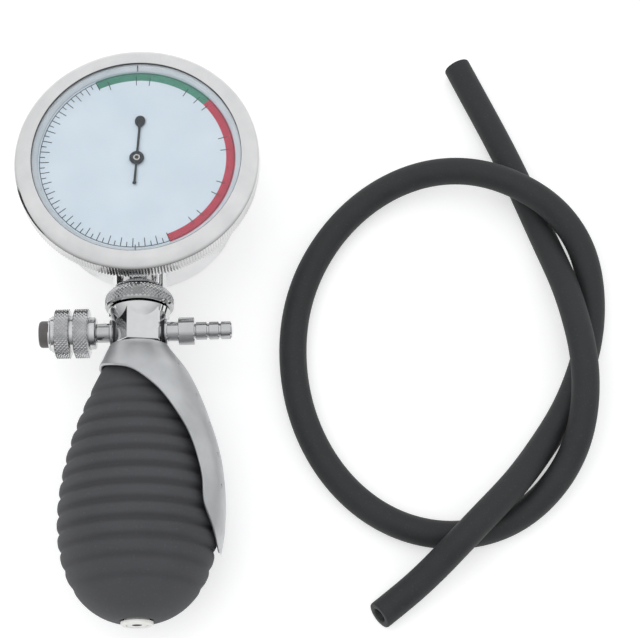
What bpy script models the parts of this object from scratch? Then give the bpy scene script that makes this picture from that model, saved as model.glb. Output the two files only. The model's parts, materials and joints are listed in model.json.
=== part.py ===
"""Hand vacuum pump: a ribbed squeeze bulb under a metal palm shell, a valve block with a release valve
and a hose nipple, a dial gauge on a leaning stem, and a loose rubber hose tied in an overhand knot.

Units are metres and +Z is up. The pump lies on its back with the dial facing up. Its long axis runs
along Y, the gauge at +Y, and the hose nipple points along +X.
"""

import math

import bmesh
import bpy
import numpy as np

for leftover in list(bpy.data.objects):
    bpy.data.objects.remove(leftover, do_unlink=True)

# Clearances and mesh density
GAP = 0.0003            # between neighbouring pieces that touch on the real pump
RUN = 0.0002            # between a running piece and the hole it runs in
WELD = 0.000001         # points closer than this are one
BIG_SIDES = 64          # sides of the gauge's round pieces
GRIP_SIDES = 32         # sides of the bulb and its shell
SIDES = 20              # sides of the fittings
FINE_SIDES = 12         # sides of the small inner pieces
SHARP = math.radians(35)

# Bulb and palm shell, with y measured along the pump from the crossing of its two side ports
BULB_R = 0.0209         # widest, over the ribs
BULB_BELLY_Y = -0.0515  # where it is widest
BULB_END_Y = -0.0786
BULB_TOP_Y = -0.0060
BULB_TOP_FULL_Y = -0.0060
BULB_NECK_DROP = 0.0138  # how much narrower the neck is than the belly
BULB_TAPER = 1.85       # exponent of the narrowing towards the neck
BULB_FULLNESS = 2.25    # exponent of the rounded end, 2 being an ellipse
BULB_WALL = 0.0028
BULB_NECK_BORE_R = 0.0060
BULB_NECK_BORE_Y = -0.0150
BULB_END_BORE_R = 0.0036
GROOVES = 12
FIRST_GROOVE_Y = -0.0186
LAST_GROOVE_Y = -0.0694
GROOVE_DEPTH = 0.0009
SHELL_WALL = 0.0010
SHELL_TOP_Y = -0.0044
SHELL_PLATE = 0.0012    # thickness of the plate that the connector clamps
SHELL_HOLE_R = 0.0030
# The shell's outside as (radius, y), from its collar to its tip
SHELL_OUTSIDE = (
    (0.0082, -0.0050),
    (0.0108, -0.0084),
    (0.0130, -0.0115),
    (0.0151, -0.0155),
    (0.0169, -0.0197),
    (0.0187, -0.0247),
    (0.0203, -0.0297),
    (0.0216, -0.0349),
    (0.0224, -0.0406),
    (0.0228, -0.0466),
    (0.0227, -0.0519),
    (0.0223, -0.0566),
    (0.0217, -0.0598),
    (0.0209, -0.0635),
)
# The shell's free edge seen from above, from the left of its collar to its tip on the right
SHELL_EDGE = (
    (-0.0135, -0.0084),
    (-0.0100, -0.0104),
    (-0.0066, -0.0121),
    (-0.0030, -0.0133),
    (-0.0008, -0.0142),
    (0.0032, -0.0171),
    (0.0068, -0.0205),
    (0.0109, -0.0260),
    (0.0145, -0.0323),
    (0.0167, -0.0388),
    (0.0179, -0.0453),
    (0.0182, -0.0504),
    (0.0199, -0.0553),
    (0.0210, -0.0596),
    (0.0217, -0.0632),
)

# Valve block and the leaning stem that carries the gauge
BLOCK_CORNER_R = 0.00825  # hexagon 14.3 mm across its flats, with corners at +X and -X
BLOCK_LOW_Y = -0.0041
LEAN = math.radians(2.7)  # how far the stem and the gauge lean back
NUT_Y = 0.0088            # middle of the union nut
NUT_R = 0.0093
NUT_LOW, NUT_HIGH = -0.0026, 0.0026
NUT_THREAD_R = 0.0069
NUT_LIP_R = 0.0050
NUT_LIP_LOW = 0.0014
BOSS_R = 0.0066
BOSS_TOP = -0.0009
FLARE_R = 0.0081
FLARE_LOW, FLARE_HIGH = -0.0078, -0.0030
STEM_R = 0.0046
STEM_COLLAR_R = 0.0064
STEM_TAIL = 0.0140        # the stem's end inside the case
STEM_NOSE_R = 0.0022
PORT_FACE = 0.0059        # the block is cut flat at its two side ports
PORT_FLAT_TOP = 0.0040     # the flats at the ports reach up to here
PORT_R = 0.0029
CONNECTOR_R = 0.0025      # threaded end of the bulb connector
PASSAGE_R = 0.0012
FEED_R = 0.0009           # narrower, where a passage runs into another

# Gauge, in its own frame: the dial's face at z = 0 and 12 o'clock along +y
STEM_REACH = 0.0367       # nut's middle to dial centre, along the stem
DIAL_FORWARD = 0.0125     # dial's face in front of the stem's axis
BEZEL_R = 0.0332
BEZEL_FOOT = -0.0046
BEZEL_EDGE = 0.0008
BEZEL_CREST = 0.0034
BEZEL_LIP_R = 0.0279
CASE_R = 0.0260
CASE_FLANGE_R = 0.0314
CASE_WALL = 0.0014
CASE_CHAMFER = 0.0012
DIAL_R = 0.0284
DIAL_T = 0.0006
LENS_LOW, LENS_HIGH = 0.0014, 0.0022
GASKET_INNER_R = 0.0269

# Pointer
POINTER_LOW, POINTER_HIGH = 0.0005, 0.0008
POINTER_HUB_R = 0.0019
POINTER_BLOB_R = 0.0013
POINTER_BLOB_AT = 0.0110
POINTER_TAIL = 0.0078
POINTER_SWEEP = math.radians(330)
POINTER_REST = math.radians(4.0)  # how far past 12 o'clock it stands when the pump is idle

# Gauge movement, all in the gauge's frame
PINION_TEETH = 10
SECTOR_TEETH = 60         # a full wheel's count
MODULE = 0.00025
TOOTH_SHARE = 0.36        # of the pitch, at the pitch circle
TOOTH_HEIGHT = 0.0002
TOOTH_DEPTH = 0.0003
ARBOR_R = 0.0005
SECTOR_AT = (0.0049, -0.00725)
SECTOR_SWING = POINTER_SWEEP * PINION_TEETH / SECTOR_TEETH
SECTOR_LOW, SECTOR_HIGH = -0.0056, -0.0048
SECTOR_TAIL = 0.0030
ROCKER_AT = (0.0038, -0.0115)  # x and z of the rocker's axis
ROCKER_SWING = math.radians(24)
ROCKER_R = 0.0006
ROCKER_ARM_Y = -0.0099
PLATE_LOW, PLATE_HIGH = -0.0094, -0.0084
BRIDGE_LOW, BRIDGE_HIGH = -0.0034, -0.0024
PLATE_CORNERS = ((-0.0120, -0.0165), (0.0120, -0.0165), (0.0, 0.0180))
PLATE_CORNER_R = 0.0030
CAPSULE_R = 0.0150
CAPSULE_LOW, CAPSULE_HIGH = -0.0204, -0.0146

# Release valve, measured outwards from the pump's axis along -X
VALVE_NECK_R = 0.0026
VALVE_FLANGE_R = 0.0035
KNOB_R = 0.0067
KNOB_START = 0.01135
KNOB_BANDS = ((0.0133, 0.0172), (0.0183, 0.0222))
KNOB_END = 0.0233
BUTTON_R = 0.0036
BUTTON_END = 0.0270
BUTTON_SEAT = 0.0219
NEEDLE_R = 0.0010

# Hose nipple, measured outwards along +X
NIPPLE_R = 0.0021
NIPPLE_BARB_R = 0.00245
NIPPLE_BARBS = (0.0177, 0.0215, 0.0245)
NIPPLE_END = 0.0248
NIPPLE_BORE_R = 0.0011

# End valve in the bottom of the bulb
END_FLANGE_R = 0.0042
END_OUTER_Y = -0.0790
END_STEM_R = 0.0033
END_HOLE_R = 0.0011
DISC_T = 0.0008

# Hose, lying loose beside the pump: its middle line from one bare end to the other
HOSE_R = 0.0038
HOSE_POINTS = 76
HOSE_ROUTE = (
    (0.0906, 0.0862, 0.0039),
    (0.0952, 0.0755, 0.0039),
    (0.1009, 0.0622, 0.0039),
    (0.1052, 0.0514, 0.0039),
    (0.1091, 0.0406, 0.0040),
    (0.1133, 0.0270, 0.0062),
    (0.1163, 0.0161, 0.0091),
    (0.1185, 0.0049, 0.0114),
    (0.1200, -0.0095, 0.0123),
    (0.1192, -0.0210, 0.0112),
    (0.1161, -0.0318, 0.0084),
    (0.1081, -0.0432, 0.0050),
    (0.0988, -0.0500, 0.0040),
    (0.0878, -0.0534, 0.0039),
    (0.0735, -0.0524, 0.0039),
    (0.0629, -0.0476, 0.0039),
    (0.0542, -0.0400, 0.0039),
    (0.0464, -0.0279, 0.0039),
    (0.0426, -0.0169, 0.0039),
    (0.0410, -0.0054, 0.0039),
    (0.0419, 0.0090, 0.0039),
    (0.0451, 0.0201, 0.0039),
    (0.0505, 0.0303, 0.0039),
    (0.0601, 0.0412, 0.0044),
    (0.0698, 0.0473, 0.0058),
    (0.0807, 0.0501, 0.0082),
    (0.0946, 0.0485, 0.0113),
    (0.1052, 0.0438, 0.0124),
    (0.1145, 0.0369, 0.0118),
    (0.1223, 0.0252, 0.0084),
    (0.1243, 0.0142, 0.0056),
    (0.1234, 0.0029, 0.0041),
    (0.1191, -0.0109, 0.0039),
    (0.1139, -0.0212, 0.0043),
    (0.1075, -0.0308, 0.0060),
    (0.0990, -0.0418, 0.0098),
    (0.0912, -0.0500, 0.0121),
    (0.0830, -0.0580, 0.0111),
    (0.0726, -0.0670, 0.0060),
    (0.0621, -0.0749, 0.0039),
)

# The pump's frame stands over the middle of its own footprint
DIAL_Y = NUT_Y + STEM_REACH * math.cos(LEAN) + DIAL_FORWARD * math.sin(LEAN)
DIAL_Z = DIAL_FORWARD * math.cos(LEAN) - STEM_REACH * math.sin(LEAN)
TOP_Y = DIAL_Y + BEZEL_R * math.cos(LEAN) + BEZEL_EDGE * math.sin(LEAN)
AXIS_Y = -(TOP_Y + END_OUTER_Y) / 2
AXIS_Z = BULB_R * math.cos(math.pi / GRIP_SIDES)  # the bulb rests on one flat of its ribs
# The case is as deep as makes its back edge touch the same floor as the bulb
CASE_EDGE_R = CASE_R - CASE_CHAMFER
CASE_REST_R = CASE_EDGE_R * math.cos(math.pi / BIG_SIDES)
CASE_BACK = -(DIAL_Z + AXIS_Z - CASE_REST_R * math.sin(LEAN)) / math.cos(LEAN)

ALONG_Y = (-math.pi / 2, 0, 0)
GRIP_TURN = (-math.pi / 2, math.pi / GRIP_SIDES, 0)  # along Y with a flat, not a corner, facing down
CASE_TURN = (0, 0, math.pi / BIG_SIDES)
ALONG_PLUS_X = (0, math.pi / 2, 0)
ALONG_MINUS_X = (0, -math.pi / 2, 0)

# Base colour, roughness and metallic value of each finish
LOOKS = {
    "chrome": ((0.80, 0.81, 0.82), 0.12, 1.0),
    "satin_steel": ((0.70, 0.71, 0.72), 0.35, 1.0),
    "brass": ((0.76, 0.60, 0.32), 0.30, 1.0),
    "spring_steel": ((0.55, 0.56, 0.58), 0.30, 1.0),
    "bulb_rubber": ((0.080, 0.080, 0.088), 0.70, 0.0),
    "hose_rubber": ((0.028, 0.030, 0.031), 0.60, 0.0),
    "seal_rubber": ((0.020, 0.020, 0.020), 0.80, 0.0),
    "pale_plastic": ((0.56, 0.60, 0.64), 0.50, 0.0),
    "dial_paint": ((0.63, 0.72, 0.80), 0.50, 0.0),
    "pointer_paint": ((0.020, 0.025, 0.030), 0.45, 0.0),
    "button_plastic": ((0.090, 0.095, 0.100), 0.45, 0.0),
    "cream_plastic": ((0.80, 0.78, 0.70), 0.45, 0.0),
    "lens_glass": ((0.95, 0.97, 0.98), 0.03, 0.0),
}


def finish(obj, look):
    """Gives an object its own material in one of the finishes."""
    colour, roughness, metallic = LOOKS[look]
    material = bpy.data.materials.new(f"{obj.name}_{look}")
    material.use_nodes = True
    shader = material.node_tree.nodes["Principled BSDF"]
    shader.inputs["Base Color"].default_value = (*colour, 1)
    shader.inputs["Roughness"].default_value = roughness
    shader.inputs["Metallic"].default_value = metallic
    if look == "lens_glass":
        shader.inputs["Transmission Weight"].default_value = 1
    obj.data.materials.append(material)


def place(name, data, parent, location=(0, 0, 0), rotation=(0, 0, 0)):
    obj = bpy.data.objects.new(name, data)
    bpy.context.collection.objects.link(obj)
    obj.parent = parent
    obj.location = location
    obj.rotation_euler = rotation
    return obj


def part(name, data, look, parent, location=(0, 0, 0), rotation=(0, 0, 0)):
    obj = place(name, data, parent, location, rotation)
    finish(obj, look)
    return obj


def shape(target, tool_name, data, operation, parent, location=(0, 0, 0), rotation=(0, 0, 0)):
    """Adds or cuts a hidden tool shape with a Boolean that stays on the target."""
    tool = place(tool_name, data, parent, location, rotation)
    tool.hide_render = True
    tool.display_type = "WIRE"
    boolean = target.modifiers.new(tool_name, "BOOLEAN")
    boolean.operation = operation
    boolean.object = tool


def drill(target, tool_name, radius, low, high, parent, location=(0, 0, 0), rotation=(0, 0, 0)):
    shape(target, tool_name, rod(tool_name, radius, low, high), "DIFFERENCE", parent, location, rotation)


def finished_mesh(name, bm):
    bmesh.ops.recalc_face_normals(bm, faces=bm.faces[:])
    mesh = bpy.data.meshes.new(name)
    bm.to_mesh(mesh)
    bm.free()
    mesh.shade_smooth()
    mesh.set_sharp_from_angle(angle=SHARP)
    return mesh


def turned(name, outline, sides=SIDES):
    """Spins (radius, height) points round local Z. An outline off the axis at both ends closes on itself."""
    bm = bmesh.new()
    verts = [bm.verts.new((radius, 0, height)) for radius, height in outline]
    edges = [bm.edges.new(pair) for pair in zip(verts, verts[1:])]
    if outline[0][0] > 0:
        edges.append(bm.edges.new((verts[-1], verts[0])))
    bmesh.ops.spin(bm, geom=verts + edges, cent=(0, 0, 0), axis=(0, 0, 1), angle=2 * math.pi, steps=sides)
    bmesh.ops.remove_doubles(bm, verts=bm.verts[:], dist=WELD)
    return finished_mesh(name, bm)


def rod(name, radius, low, high, sides=SIDES):
    return turned(name, ((0, low), (radius, low), (radius, high), (0, high)), sides)


def ring(name, inner, outer, low, high, sides=SIDES):
    return turned(name, ((inner, low), (outer, low), (outer, high), (inner, high)), sides)


def slab(name, outline, low, high):
    """Extrudes a flat outline of (x, y) points along local Z."""
    bm = bmesh.new()
    face = bm.faces.new([bm.verts.new((x, y, low)) for x, y in outline])
    lifted = bmesh.ops.extrude_face_region(bm, geom=[face])["geom"]
    top = [item for item in lifted if isinstance(item, bmesh.types.BMVert)]
    bmesh.ops.translate(bm, verts=top, vec=(0, 0, high - low))
    return finished_mesh(name, bm)


def arc(centre, radius, start, end, steps):
    """Points on an arc, both ends included, with angles in radians from +x."""
    turns = [start + (end - start) * step / steps for step in range(steps + 1)]
    return [(centre[0] + radius * math.cos(a), centre[1] + radius * math.sin(a)) for a in turns]


def smooth_route(points, count):
    """Evenly spaced points on the natural cubic spline through hand-chosen ones."""
    route = np.array(points, dtype=float)
    span = np.linalg.norm(np.diff(route, axis=0), axis=1)
    system = np.eye(len(route))
    slope_change = np.zeros_like(route)
    for i in range(1, len(route) - 1):
        system[i, i - 1:i + 2] = span[i - 1], 2 * (span[i - 1] + span[i]), span[i]
        ahead = (route[i + 1] - route[i]) / span[i]
        behind = (route[i] - route[i - 1]) / span[i - 1]
        slope_change[i] = 6 * (ahead - behind)
    bend = np.linalg.solve(system, slope_change)
    dense = []
    for i, length in enumerate(span):
        for share in np.linspace(0, 1, 40, endpoint=False):
            left, right = (1 - share) * length, share * length
            chord = route[i] * (1 - share) + route[i + 1] * share
            sag_left = bend[i] * (left ** 3 / length - length * left)
            sag_right = bend[i + 1] * (right ** 3 / length - length * right)
            dense.append(chord + (sag_left + sag_right) / 6)
    dense.append(route[-1])
    dense = np.array(dense)
    travelled = np.concatenate(([0], np.cumsum(np.linalg.norm(np.diff(dense, axis=0), axis=1))))
    even = np.linspace(0, travelled[-1], count)
    return np.column_stack([np.interp(even, travelled, dense[:, axis]) for axis in range(3)])


def tube(name, points, radius, resolution):
    """A round tube with filled ends along a poly line."""
    curve = bpy.data.curves.new(name, "CURVE")
    curve.dimensions = "3D"
    curve.bevel_depth = radius
    curve.bevel_resolution = resolution
    curve.use_fill_caps = True
    spline = curve.splines.new("POLY")
    spline.points.add(len(points) - 1)
    for point, place_xyz in zip(spline.points, points):
        point.co = (*place_xyz, 1)
    return curve


def least_gap(points, diameter, reach):
    """Smallest clearance between stretches of a tube that lie further apart along it than reach."""
    points = np.array(points)
    step = np.linalg.norm(points[1] - points[0])
    away = np.linalg.norm(points[:, None] - points[None], axis=2)
    order = np.arange(len(points))
    far = np.abs(order[:, None] - order[None]) * step > reach
    return away[far].min() - diameter


# Bulb and palm shell

def crest_radius(y):
    """The bulb's outline over its ribs: a taper above the belly and a full round end below it."""
    if y > BULB_BELLY_Y:
        share = (y - BULB_BELLY_Y) / (BULB_TOP_FULL_Y - BULB_BELLY_Y)
        return BULB_R - BULB_NECK_DROP * share ** BULB_TAPER
    share = (y - BULB_BELLY_Y) / (BULB_END_Y - BULB_BELLY_Y)
    return BULB_R * (1 - share ** BULB_FULLNESS) ** (1 / BULB_FULLNESS)


def bulb(pump):
    pitch = (LAST_GROOVE_Y - FIRST_GROOVE_Y) / (GROOVES - 1)
    outer = [(crest_radius(y), y) for y in (BULB_TOP_Y, -0.0100, FIRST_GROOVE_Y - pitch / 2)]
    for groove in range(GROOVES):
        y = FIRST_GROOVE_Y + groove * pitch
        outer.append((crest_radius(y) - GROOVE_DEPTH, y))
        outer.append((crest_radius(y + pitch / 2), y + pitch / 2))
    outer += [(crest_radius(y), y) for y in (-0.0738, -0.0756, -0.0769, -0.0776, -0.0778)]
    inner_y = (-0.0750, -0.0735, -0.0700, -0.0650, -0.0580, -0.0515, -0.0410, -0.0320, -0.0240, -0.0175)
    inner = [(BULB_END_BORE_R, outer[-1][1]), (BULB_END_BORE_R, inner_y[0])]
    inner += [(crest_radius(y) - BULB_WALL, y) for y in inner_y[1:]]
    neck = [(BULB_NECK_BORE_R, BULB_NECK_BORE_Y), (BULB_NECK_BORE_R, BULB_TOP_Y)]
    part("bulb", turned("bulb", outer + inner + neck, GRIP_SIDES), "bulb_rubber", pump, rotation=GRIP_TURN)


def palm_shell(pump):
    collar_r = SHELL_OUTSIDE[0][0]
    under_y = SHELL_TOP_Y - SHELL_PLATE
    top = [(SHELL_HOLE_R, SHELL_TOP_Y), (collar_r - 0.0014, SHELL_TOP_Y), (collar_r - 0.0005, SHELL_TOP_Y - 0.0002)]
    inside = [(radius - SHELL_WALL, y) for radius, y in SHELL_OUTSIDE[:0:-1]]
    under = [(collar_r - SHELL_WALL, under_y), (SHELL_HOLE_R, under_y)]
    outline = top + list(SHELL_OUTSIDE) + inside + under
    shell = part("palm_shell", turned("palm_shell", outline, GRIP_SIDES), "satin_steel", pump, rotation=GRIP_TURN)
    edge = smooth_route([(x, y, 0) for x, y in SHELL_EDGE], 26)
    beyond = [(0.030, SHELL_EDGE[-1][1]), (0.030, -0.075), (-0.030, -0.075), (-0.030, SHELL_EDGE[0][1])]
    waste = slab("palm_shell_waste", [(x, y) for x, y, z in edge] + beyond, -0.030, 0.030)
    shape(shell, "palm_shell_waste", waste, "DIFFERENCE", pump)


def bulb_connector(pump):
    outline = [
        (PASSAGE_R, -0.0018),
        (CONNECTOR_R, -0.0018),
        (CONNECTOR_R, -0.0060),
        (0.0057, -0.0060),
        (0.0057, -0.0084),
        (0.0053, -0.0086),
        (0.0057, -0.0110),
        (0.0053, -0.0112),
        (0.0056, -0.0134),
        (0.0045, -0.0144),
        (0.0026, -0.0144),
        (0.0026, -0.0084),
        (PASSAGE_R, -0.0084),
    ]
    part("bulb_connector", turned("bulb_connector", outline), "chrome", pump, rotation=ALONG_Y)
    disc = rod("check_valve_disc", 0.0022, -DISC_T, 0, FINE_SIDES)
    part("check_valve_disc", disc, "seal_rubber", pump, (0, -0.00855, 0), ALONG_Y)
    keeper = ring("check_valve_keeper", 0.0012, 0.00245, -0.0116, -0.0106, FINE_SIDES)
    part("check_valve_keeper", keeper, "brass", pump, rotation=ALONG_Y)


def end_valve(pump):
    cap_y, flange_y = END_OUTER_Y + 0.0012, END_OUTER_Y + 0.0009
    barb_y, seat_y, inner_y = END_OUTER_Y + 0.0043, END_OUTER_Y + 0.0045, END_OUTER_Y + 0.0070
    outline = [
        (0.0029, END_OUTER_Y),
        (END_FLANGE_R - 0.0004, END_OUTER_Y),
        (END_FLANGE_R, END_OUTER_Y + 0.0004),
        (END_FLANGE_R, flange_y),
        (END_STEM_R, flange_y),
        (END_STEM_R, barb_y),
        (0.0043, barb_y + 0.0001),
        (0.0032, inner_y),
        (0.0010, inner_y),
        (0.0010, seat_y),
        (0.0024, seat_y),
        (0.0024, cap_y),
        (0.0029, cap_y),
    ]
    part("end_valve_body", turned("end_valve_body", outline), "cream_plastic", pump, rotation=ALONG_Y)
    disc = rod("end_valve_disc", 0.0020, -DISC_T, 0, FINE_SIDES)
    part("end_valve_disc", disc, "seal_rubber", pump, (0, seat_y - 0.00015, 0), ALONG_Y)
    cap = ring("end_valve_cap", END_HOLE_R, 0.00275, END_OUTER_Y + 0.0001, cap_y - 0.00015)
    part("end_valve_cap", cap, "cream_plastic", pump, rotation=ALONG_Y)


# Valve block and its fittings

def valve_block(pump, stem):
    prism = turned(
        "valve_block",
        ((0, BLOCK_LOW_Y), (BLOCK_CORNER_R, BLOCK_LOW_Y), (BLOCK_CORNER_R, NUT_Y), (0, NUT_Y)),
        6,
    )
    bm = bmesh.new()
    bm.from_mesh(prism)
    top = NUT_Y + FLARE_HIGH / math.cos(LEAN)
    lean_normal = (0, math.sin(LEAN), math.cos(LEAN))
    cuts = [((0, 0, top), lean_normal), ((PORT_FACE, 0, 0), (1, 0, 0)), ((-PORT_FACE, 0, 0), (-1, 0, 0))]
    for point, normal in cuts:
        everything = bm.verts[:] + bm.edges[:] + bm.faces[:]
        bmesh.ops.bisect_plane(bm, geom=everything, plane_co=point, plane_no=normal, clear_outer=True)
        bmesh.ops.holes_fill(bm, edges=bm.edges[:])
    block = part("valve_block", finished_mesh("valve_block", bm), "chrome", pump, rotation=ALONG_Y)
    boss = ((0, -0.0085), (BOSS_R, -0.0085), (BOSS_R, FLARE_LOW), (FLARE_R, FLARE_HIGH + 0.00005))
    boss += ((BOSS_R, FLARE_HIGH + 0.0001), (BOSS_R, BOSS_TOP), (0, BOSS_TOP))
    shape(block, "block_boss", turned("block_boss", boss), "UNION", stem)
    drill(block, "block_stem_socket", STEM_NOSE_R + GAP, -0.0030, 0.0010, stem)
    drill(block, "block_stem_passage", FEED_R, -0.0088, 0.0010, stem)
    drill(block, "block_bulb_socket", CONNECTOR_R + GAP, -0.0100, -0.0015, pump, rotation=ALONG_Y)
    drill(block, "block_bulb_passage", FEED_R, -0.0030, 0.0003, pump, rotation=ALONG_Y)
    drill(block, "block_cross_passage", PASSAGE_R, -0.0060, 0.0060, pump, rotation=ALONG_PLUS_X)
    for side, turn in (("valve", ALONG_MINUS_X), ("nipple", ALONG_PLUS_X)):
        beyond = ((-0.0100, -0.0100), (0.0100, -0.0100), (0.0100, PORT_FLAT_TOP), (-0.0100, PORT_FLAT_TOP))
        flat = slab(f"block_{side}_flat", beyond, PORT_FACE, 0.0120)
        shape(block, f"block_{side}_flat", flat, "DIFFERENCE", pump, rotation=turn)
        drill(block, f"block_{side}_port", PORT_R, 0.0032, 0.0080, pump, rotation=turn)
    for cut in block.modifiers:
        cut.solver = "MANIFOLD"  # the exact solver leaves open edges where these bores meet


def port_washer(name, pump, turn):
    washer = ring(name, VALVE_NECK_R + RUN, VALVE_FLANGE_R - 0.0001, PORT_FACE + 0.00015, 0.00675)
    part(name, washer, "seal_rubber", pump, rotation=turn)


def hose_nipple(pump):
    port_washer("nipple_washer", pump, ALONG_PLUS_X)
    outline = [
        (NIPPLE_BORE_R, 0.0036),
        (VALVE_NECK_R, 0.0036),
        (VALVE_NECK_R, 0.0069),
        (VALVE_FLANGE_R, 0.0069),
        (VALVE_FLANGE_R, 0.0076),
        (0.00265, 0.0076),
        (0.00265, 0.0106),
        (0.00375, 0.0106),
        (0.00375, 0.0149),
        (NIPPLE_R, 0.0150),
    ]
    for barb in NIPPLE_BARBS:
        outline += [(NIPPLE_R, barb - 0.0008), (NIPPLE_BARB_R, barb - 0.0006), (NIPPLE_BARB_R, barb)]
        outline.append((NIPPLE_R - 0.0001, barb + 0.0003))
    outline.append((NIPPLE_BORE_R, NIPPLE_END))
    part("hose_nipple", turned("hose_nipple", outline), "chrome", pump, rotation=ALONG_PLUS_X)


def release_valve(pump):
    port_washer("valve_washer", pump, ALONG_MINUS_X)
    stem_outline = [
        (NEEDLE_R + GAP, 0.0036),
        (VALVE_NECK_R, 0.0036),
        (VALVE_NECK_R, 0.0069),
        (VALVE_FLANGE_R, 0.0069),
        (VALVE_FLANGE_R, 0.0078),
        (VALVE_NECK_R, 0.0078),
        (VALVE_NECK_R, 0.0111),
        (0.0021, 0.0111),
        (0.0021, 0.0149),
        (NEEDLE_R + GAP, 0.0149),
    ]
    part("valve_stem", turned("valve_stem", stem_outline), "chrome", pump, rotation=ALONG_MINUS_X)
    needle = ((0, 0.0022), (0.0005, 0.0022), (NEEDLE_R, 0.0036), (NEEDLE_R, 0.0151), (0, 0.0151))
    part("valve_needle", turned("valve_needle", needle, FINE_SIDES), "brass", pump, rotation=ALONG_MINUS_X)
    part("valve_knob", turned("valve_knob", knob_outline(), 32), "chrome", pump, rotation=ALONG_MINUS_X)
    collar = ring("button_collar", BUTTON_R + GAP, 0.0045, KNOB_END + 0.0001, KNOB_END + 0.0007)
    part("button_collar", collar, "chrome", pump, rotation=ALONG_MINUS_X)
    button = (
        (0, 0.0177),
        (0.0011, 0.0177),
        (0.0011, BUTTON_SEAT),
        (BUTTON_R, BUTTON_SEAT),
        (BUTTON_R, BUTTON_END - 0.0006),
        (BUTTON_R - 0.0006, BUTTON_END),
        (0, BUTTON_END),
    )
    part("push_button", turned("push_button", button), "button_plastic", pump, rotation=ALONG_MINUS_X)
    turns, points_per_turn, coil_r, wire_r = 4, 8, 0.0021, 0.00028
    low, high = 0.0170, 0.0213
    coil = []
    for step in range(turns * points_per_turn + 1):
        angle = 2 * math.pi * step / points_per_turn
        height = low + (high - low) * step / (turns * points_per_turn)
        coil.append((coil_r * math.cos(angle), coil_r * math.sin(angle), height))
    print("button spring gap", round(least_gap(coil, 2 * wire_r, coil_r * 4), 5))
    part("button_spring", tube("button_spring", coil, wire_r, 0), "spring_steel", pump, rotation=ALONG_MINUS_X)


def knob_outline():
    bevel = 0.0005
    outline = [(0.0025, KNOB_START), (0.0040, KNOB_START), (0.0044, KNOB_START + 0.0004), (0.0044, 0.0132)]
    for start, end in KNOB_BANDS:
        outline += [(KNOB_R - bevel, start), (KNOB_R, start + bevel), (KNOB_R, end - bevel), (KNOB_R - bevel, end)]
        outline.append((0.0050, end + 0.0001))
        outline.append((0.0050, end + 0.0010))
    outline[-1] = (0.0048, KNOB_END)
    chamber_r, web = BUTTON_R + GAP, (0.0155, 0.0165)
    outline += [(chamber_r, KNOB_END), (chamber_r, web[1]), (0.0016, web[1]), (0.0016, web[0]), (0.0025, web[0])]
    return outline


# Union and gauge case

def union(stem):
    outline = [
        (NUT_THREAD_R, NUT_LOW),
        (NUT_R - 0.0006, NUT_LOW),
        (NUT_R, NUT_LOW + 0.0006),
        (NUT_R, NUT_HIGH - 0.0006),
        (NUT_R - 0.0006, NUT_HIGH),
        (NUT_LIP_R, NUT_HIGH),
        (NUT_LIP_R, NUT_LIP_LOW),
        (NUT_THREAD_R, NUT_LIP_LOW),
    ]
    part("union_nut", turned("union_nut", outline, 32), "chrome", stem)
    tail = [
        (PASSAGE_R, -0.0020),
        (STEM_NOSE_R, -0.0020),
        (STEM_NOSE_R, 0.0002),
        (STEM_COLLAR_R, 0.0002),
        (STEM_COLLAR_R, NUT_LIP_LOW - GAP),
        (STEM_R, NUT_LIP_LOW - GAP),
        (STEM_R, STEM_TAIL),
        (PASSAGE_R, STEM_TAIL),
    ]
    part("case_stem", turned("case_stem", tail), "chrome", stem)
    seal_r, seal_half = 0.0037, 0.0004
    middle = (BOSS_TOP + 0.0002) / 2
    seal = arc((seal_r, middle), seal_half, 0, 2 * math.pi, 8)[:-1]
    part("stem_seal", turned("stem_seal", seal), "seal_rubber", stem)


def gauge_case(gauge, stem):
    bore_r = CASE_R - CASE_WALL
    outline = [
        (0, CASE_BACK),
        (CASE_EDGE_R, CASE_BACK),
        (CASE_R, CASE_BACK + CASE_CHAMFER),
        (CASE_R, -0.0026),
        (CASE_FLANGE_R, -0.0026),
        (CASE_FLANGE_R, -DIAL_T - GAP),
        (bore_r, -DIAL_T - GAP),
        (bore_r, CASE_BACK + CASE_WALL),
        (0, CASE_BACK + CASE_WALL),
    ]
    case = part("gauge_case", turned("gauge_case", outline, BIG_SIDES), "chrome", gauge, rotation=CASE_TURN)
    boss = turned("case_boss", ((0, 0.0030), (0.0074, 0.0030), (0.0075, 0.0130), (0, 0.0130)))
    shape(case, "case_boss", boss, "UNION", stem)
    drill(case, "case_stem_hole", STEM_R + GAP, 0.0020, 0.0150, stem)


def gauge_front(gauge):
    outline = [
        (BEZEL_R, BEZEL_FOOT),
        (BEZEL_R, BEZEL_EDGE),
        (BEZEL_R - 0.0008, BEZEL_EDGE + 0.0010),
        (BEZEL_R - 0.0024, BEZEL_CREST),
        (BEZEL_R - 0.0040, BEZEL_CREST - 0.0003),
        (BEZEL_LIP_R + 0.0004, LENS_HIGH + 0.0009),
        (BEZEL_LIP_R, LENS_HIGH + GAP),
        (DIAL_R + 0.0004, LENS_HIGH + GAP),
        (DIAL_R + 0.0004, 0.0005),
        (CASE_FLANGE_R + 0.0004, 0.0005),
        (CASE_FLANGE_R + 0.0004, BEZEL_FOOT),
    ]
    part("bezel_ring", turned("bezel_ring", outline, BIG_SIDES), "chrome", gauge)
    part("lens", rod("lens", DIAL_R, LENS_LOW, LENS_HIGH, BIG_SIDES), "lens_glass", gauge)
    gasket = ring("lens_gasket", GASKET_INNER_R, DIAL_R, GAP, LENS_LOW - GAP, BIG_SIDES)
    part("lens_gasket", gasket, "pale_plastic", gauge)
    part("dial_plate", ring("dial_plate", 0.0012, DIAL_R, -DIAL_T, 0, BIG_SIDES), "dial_paint", gauge)


# Gauge movement

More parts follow.
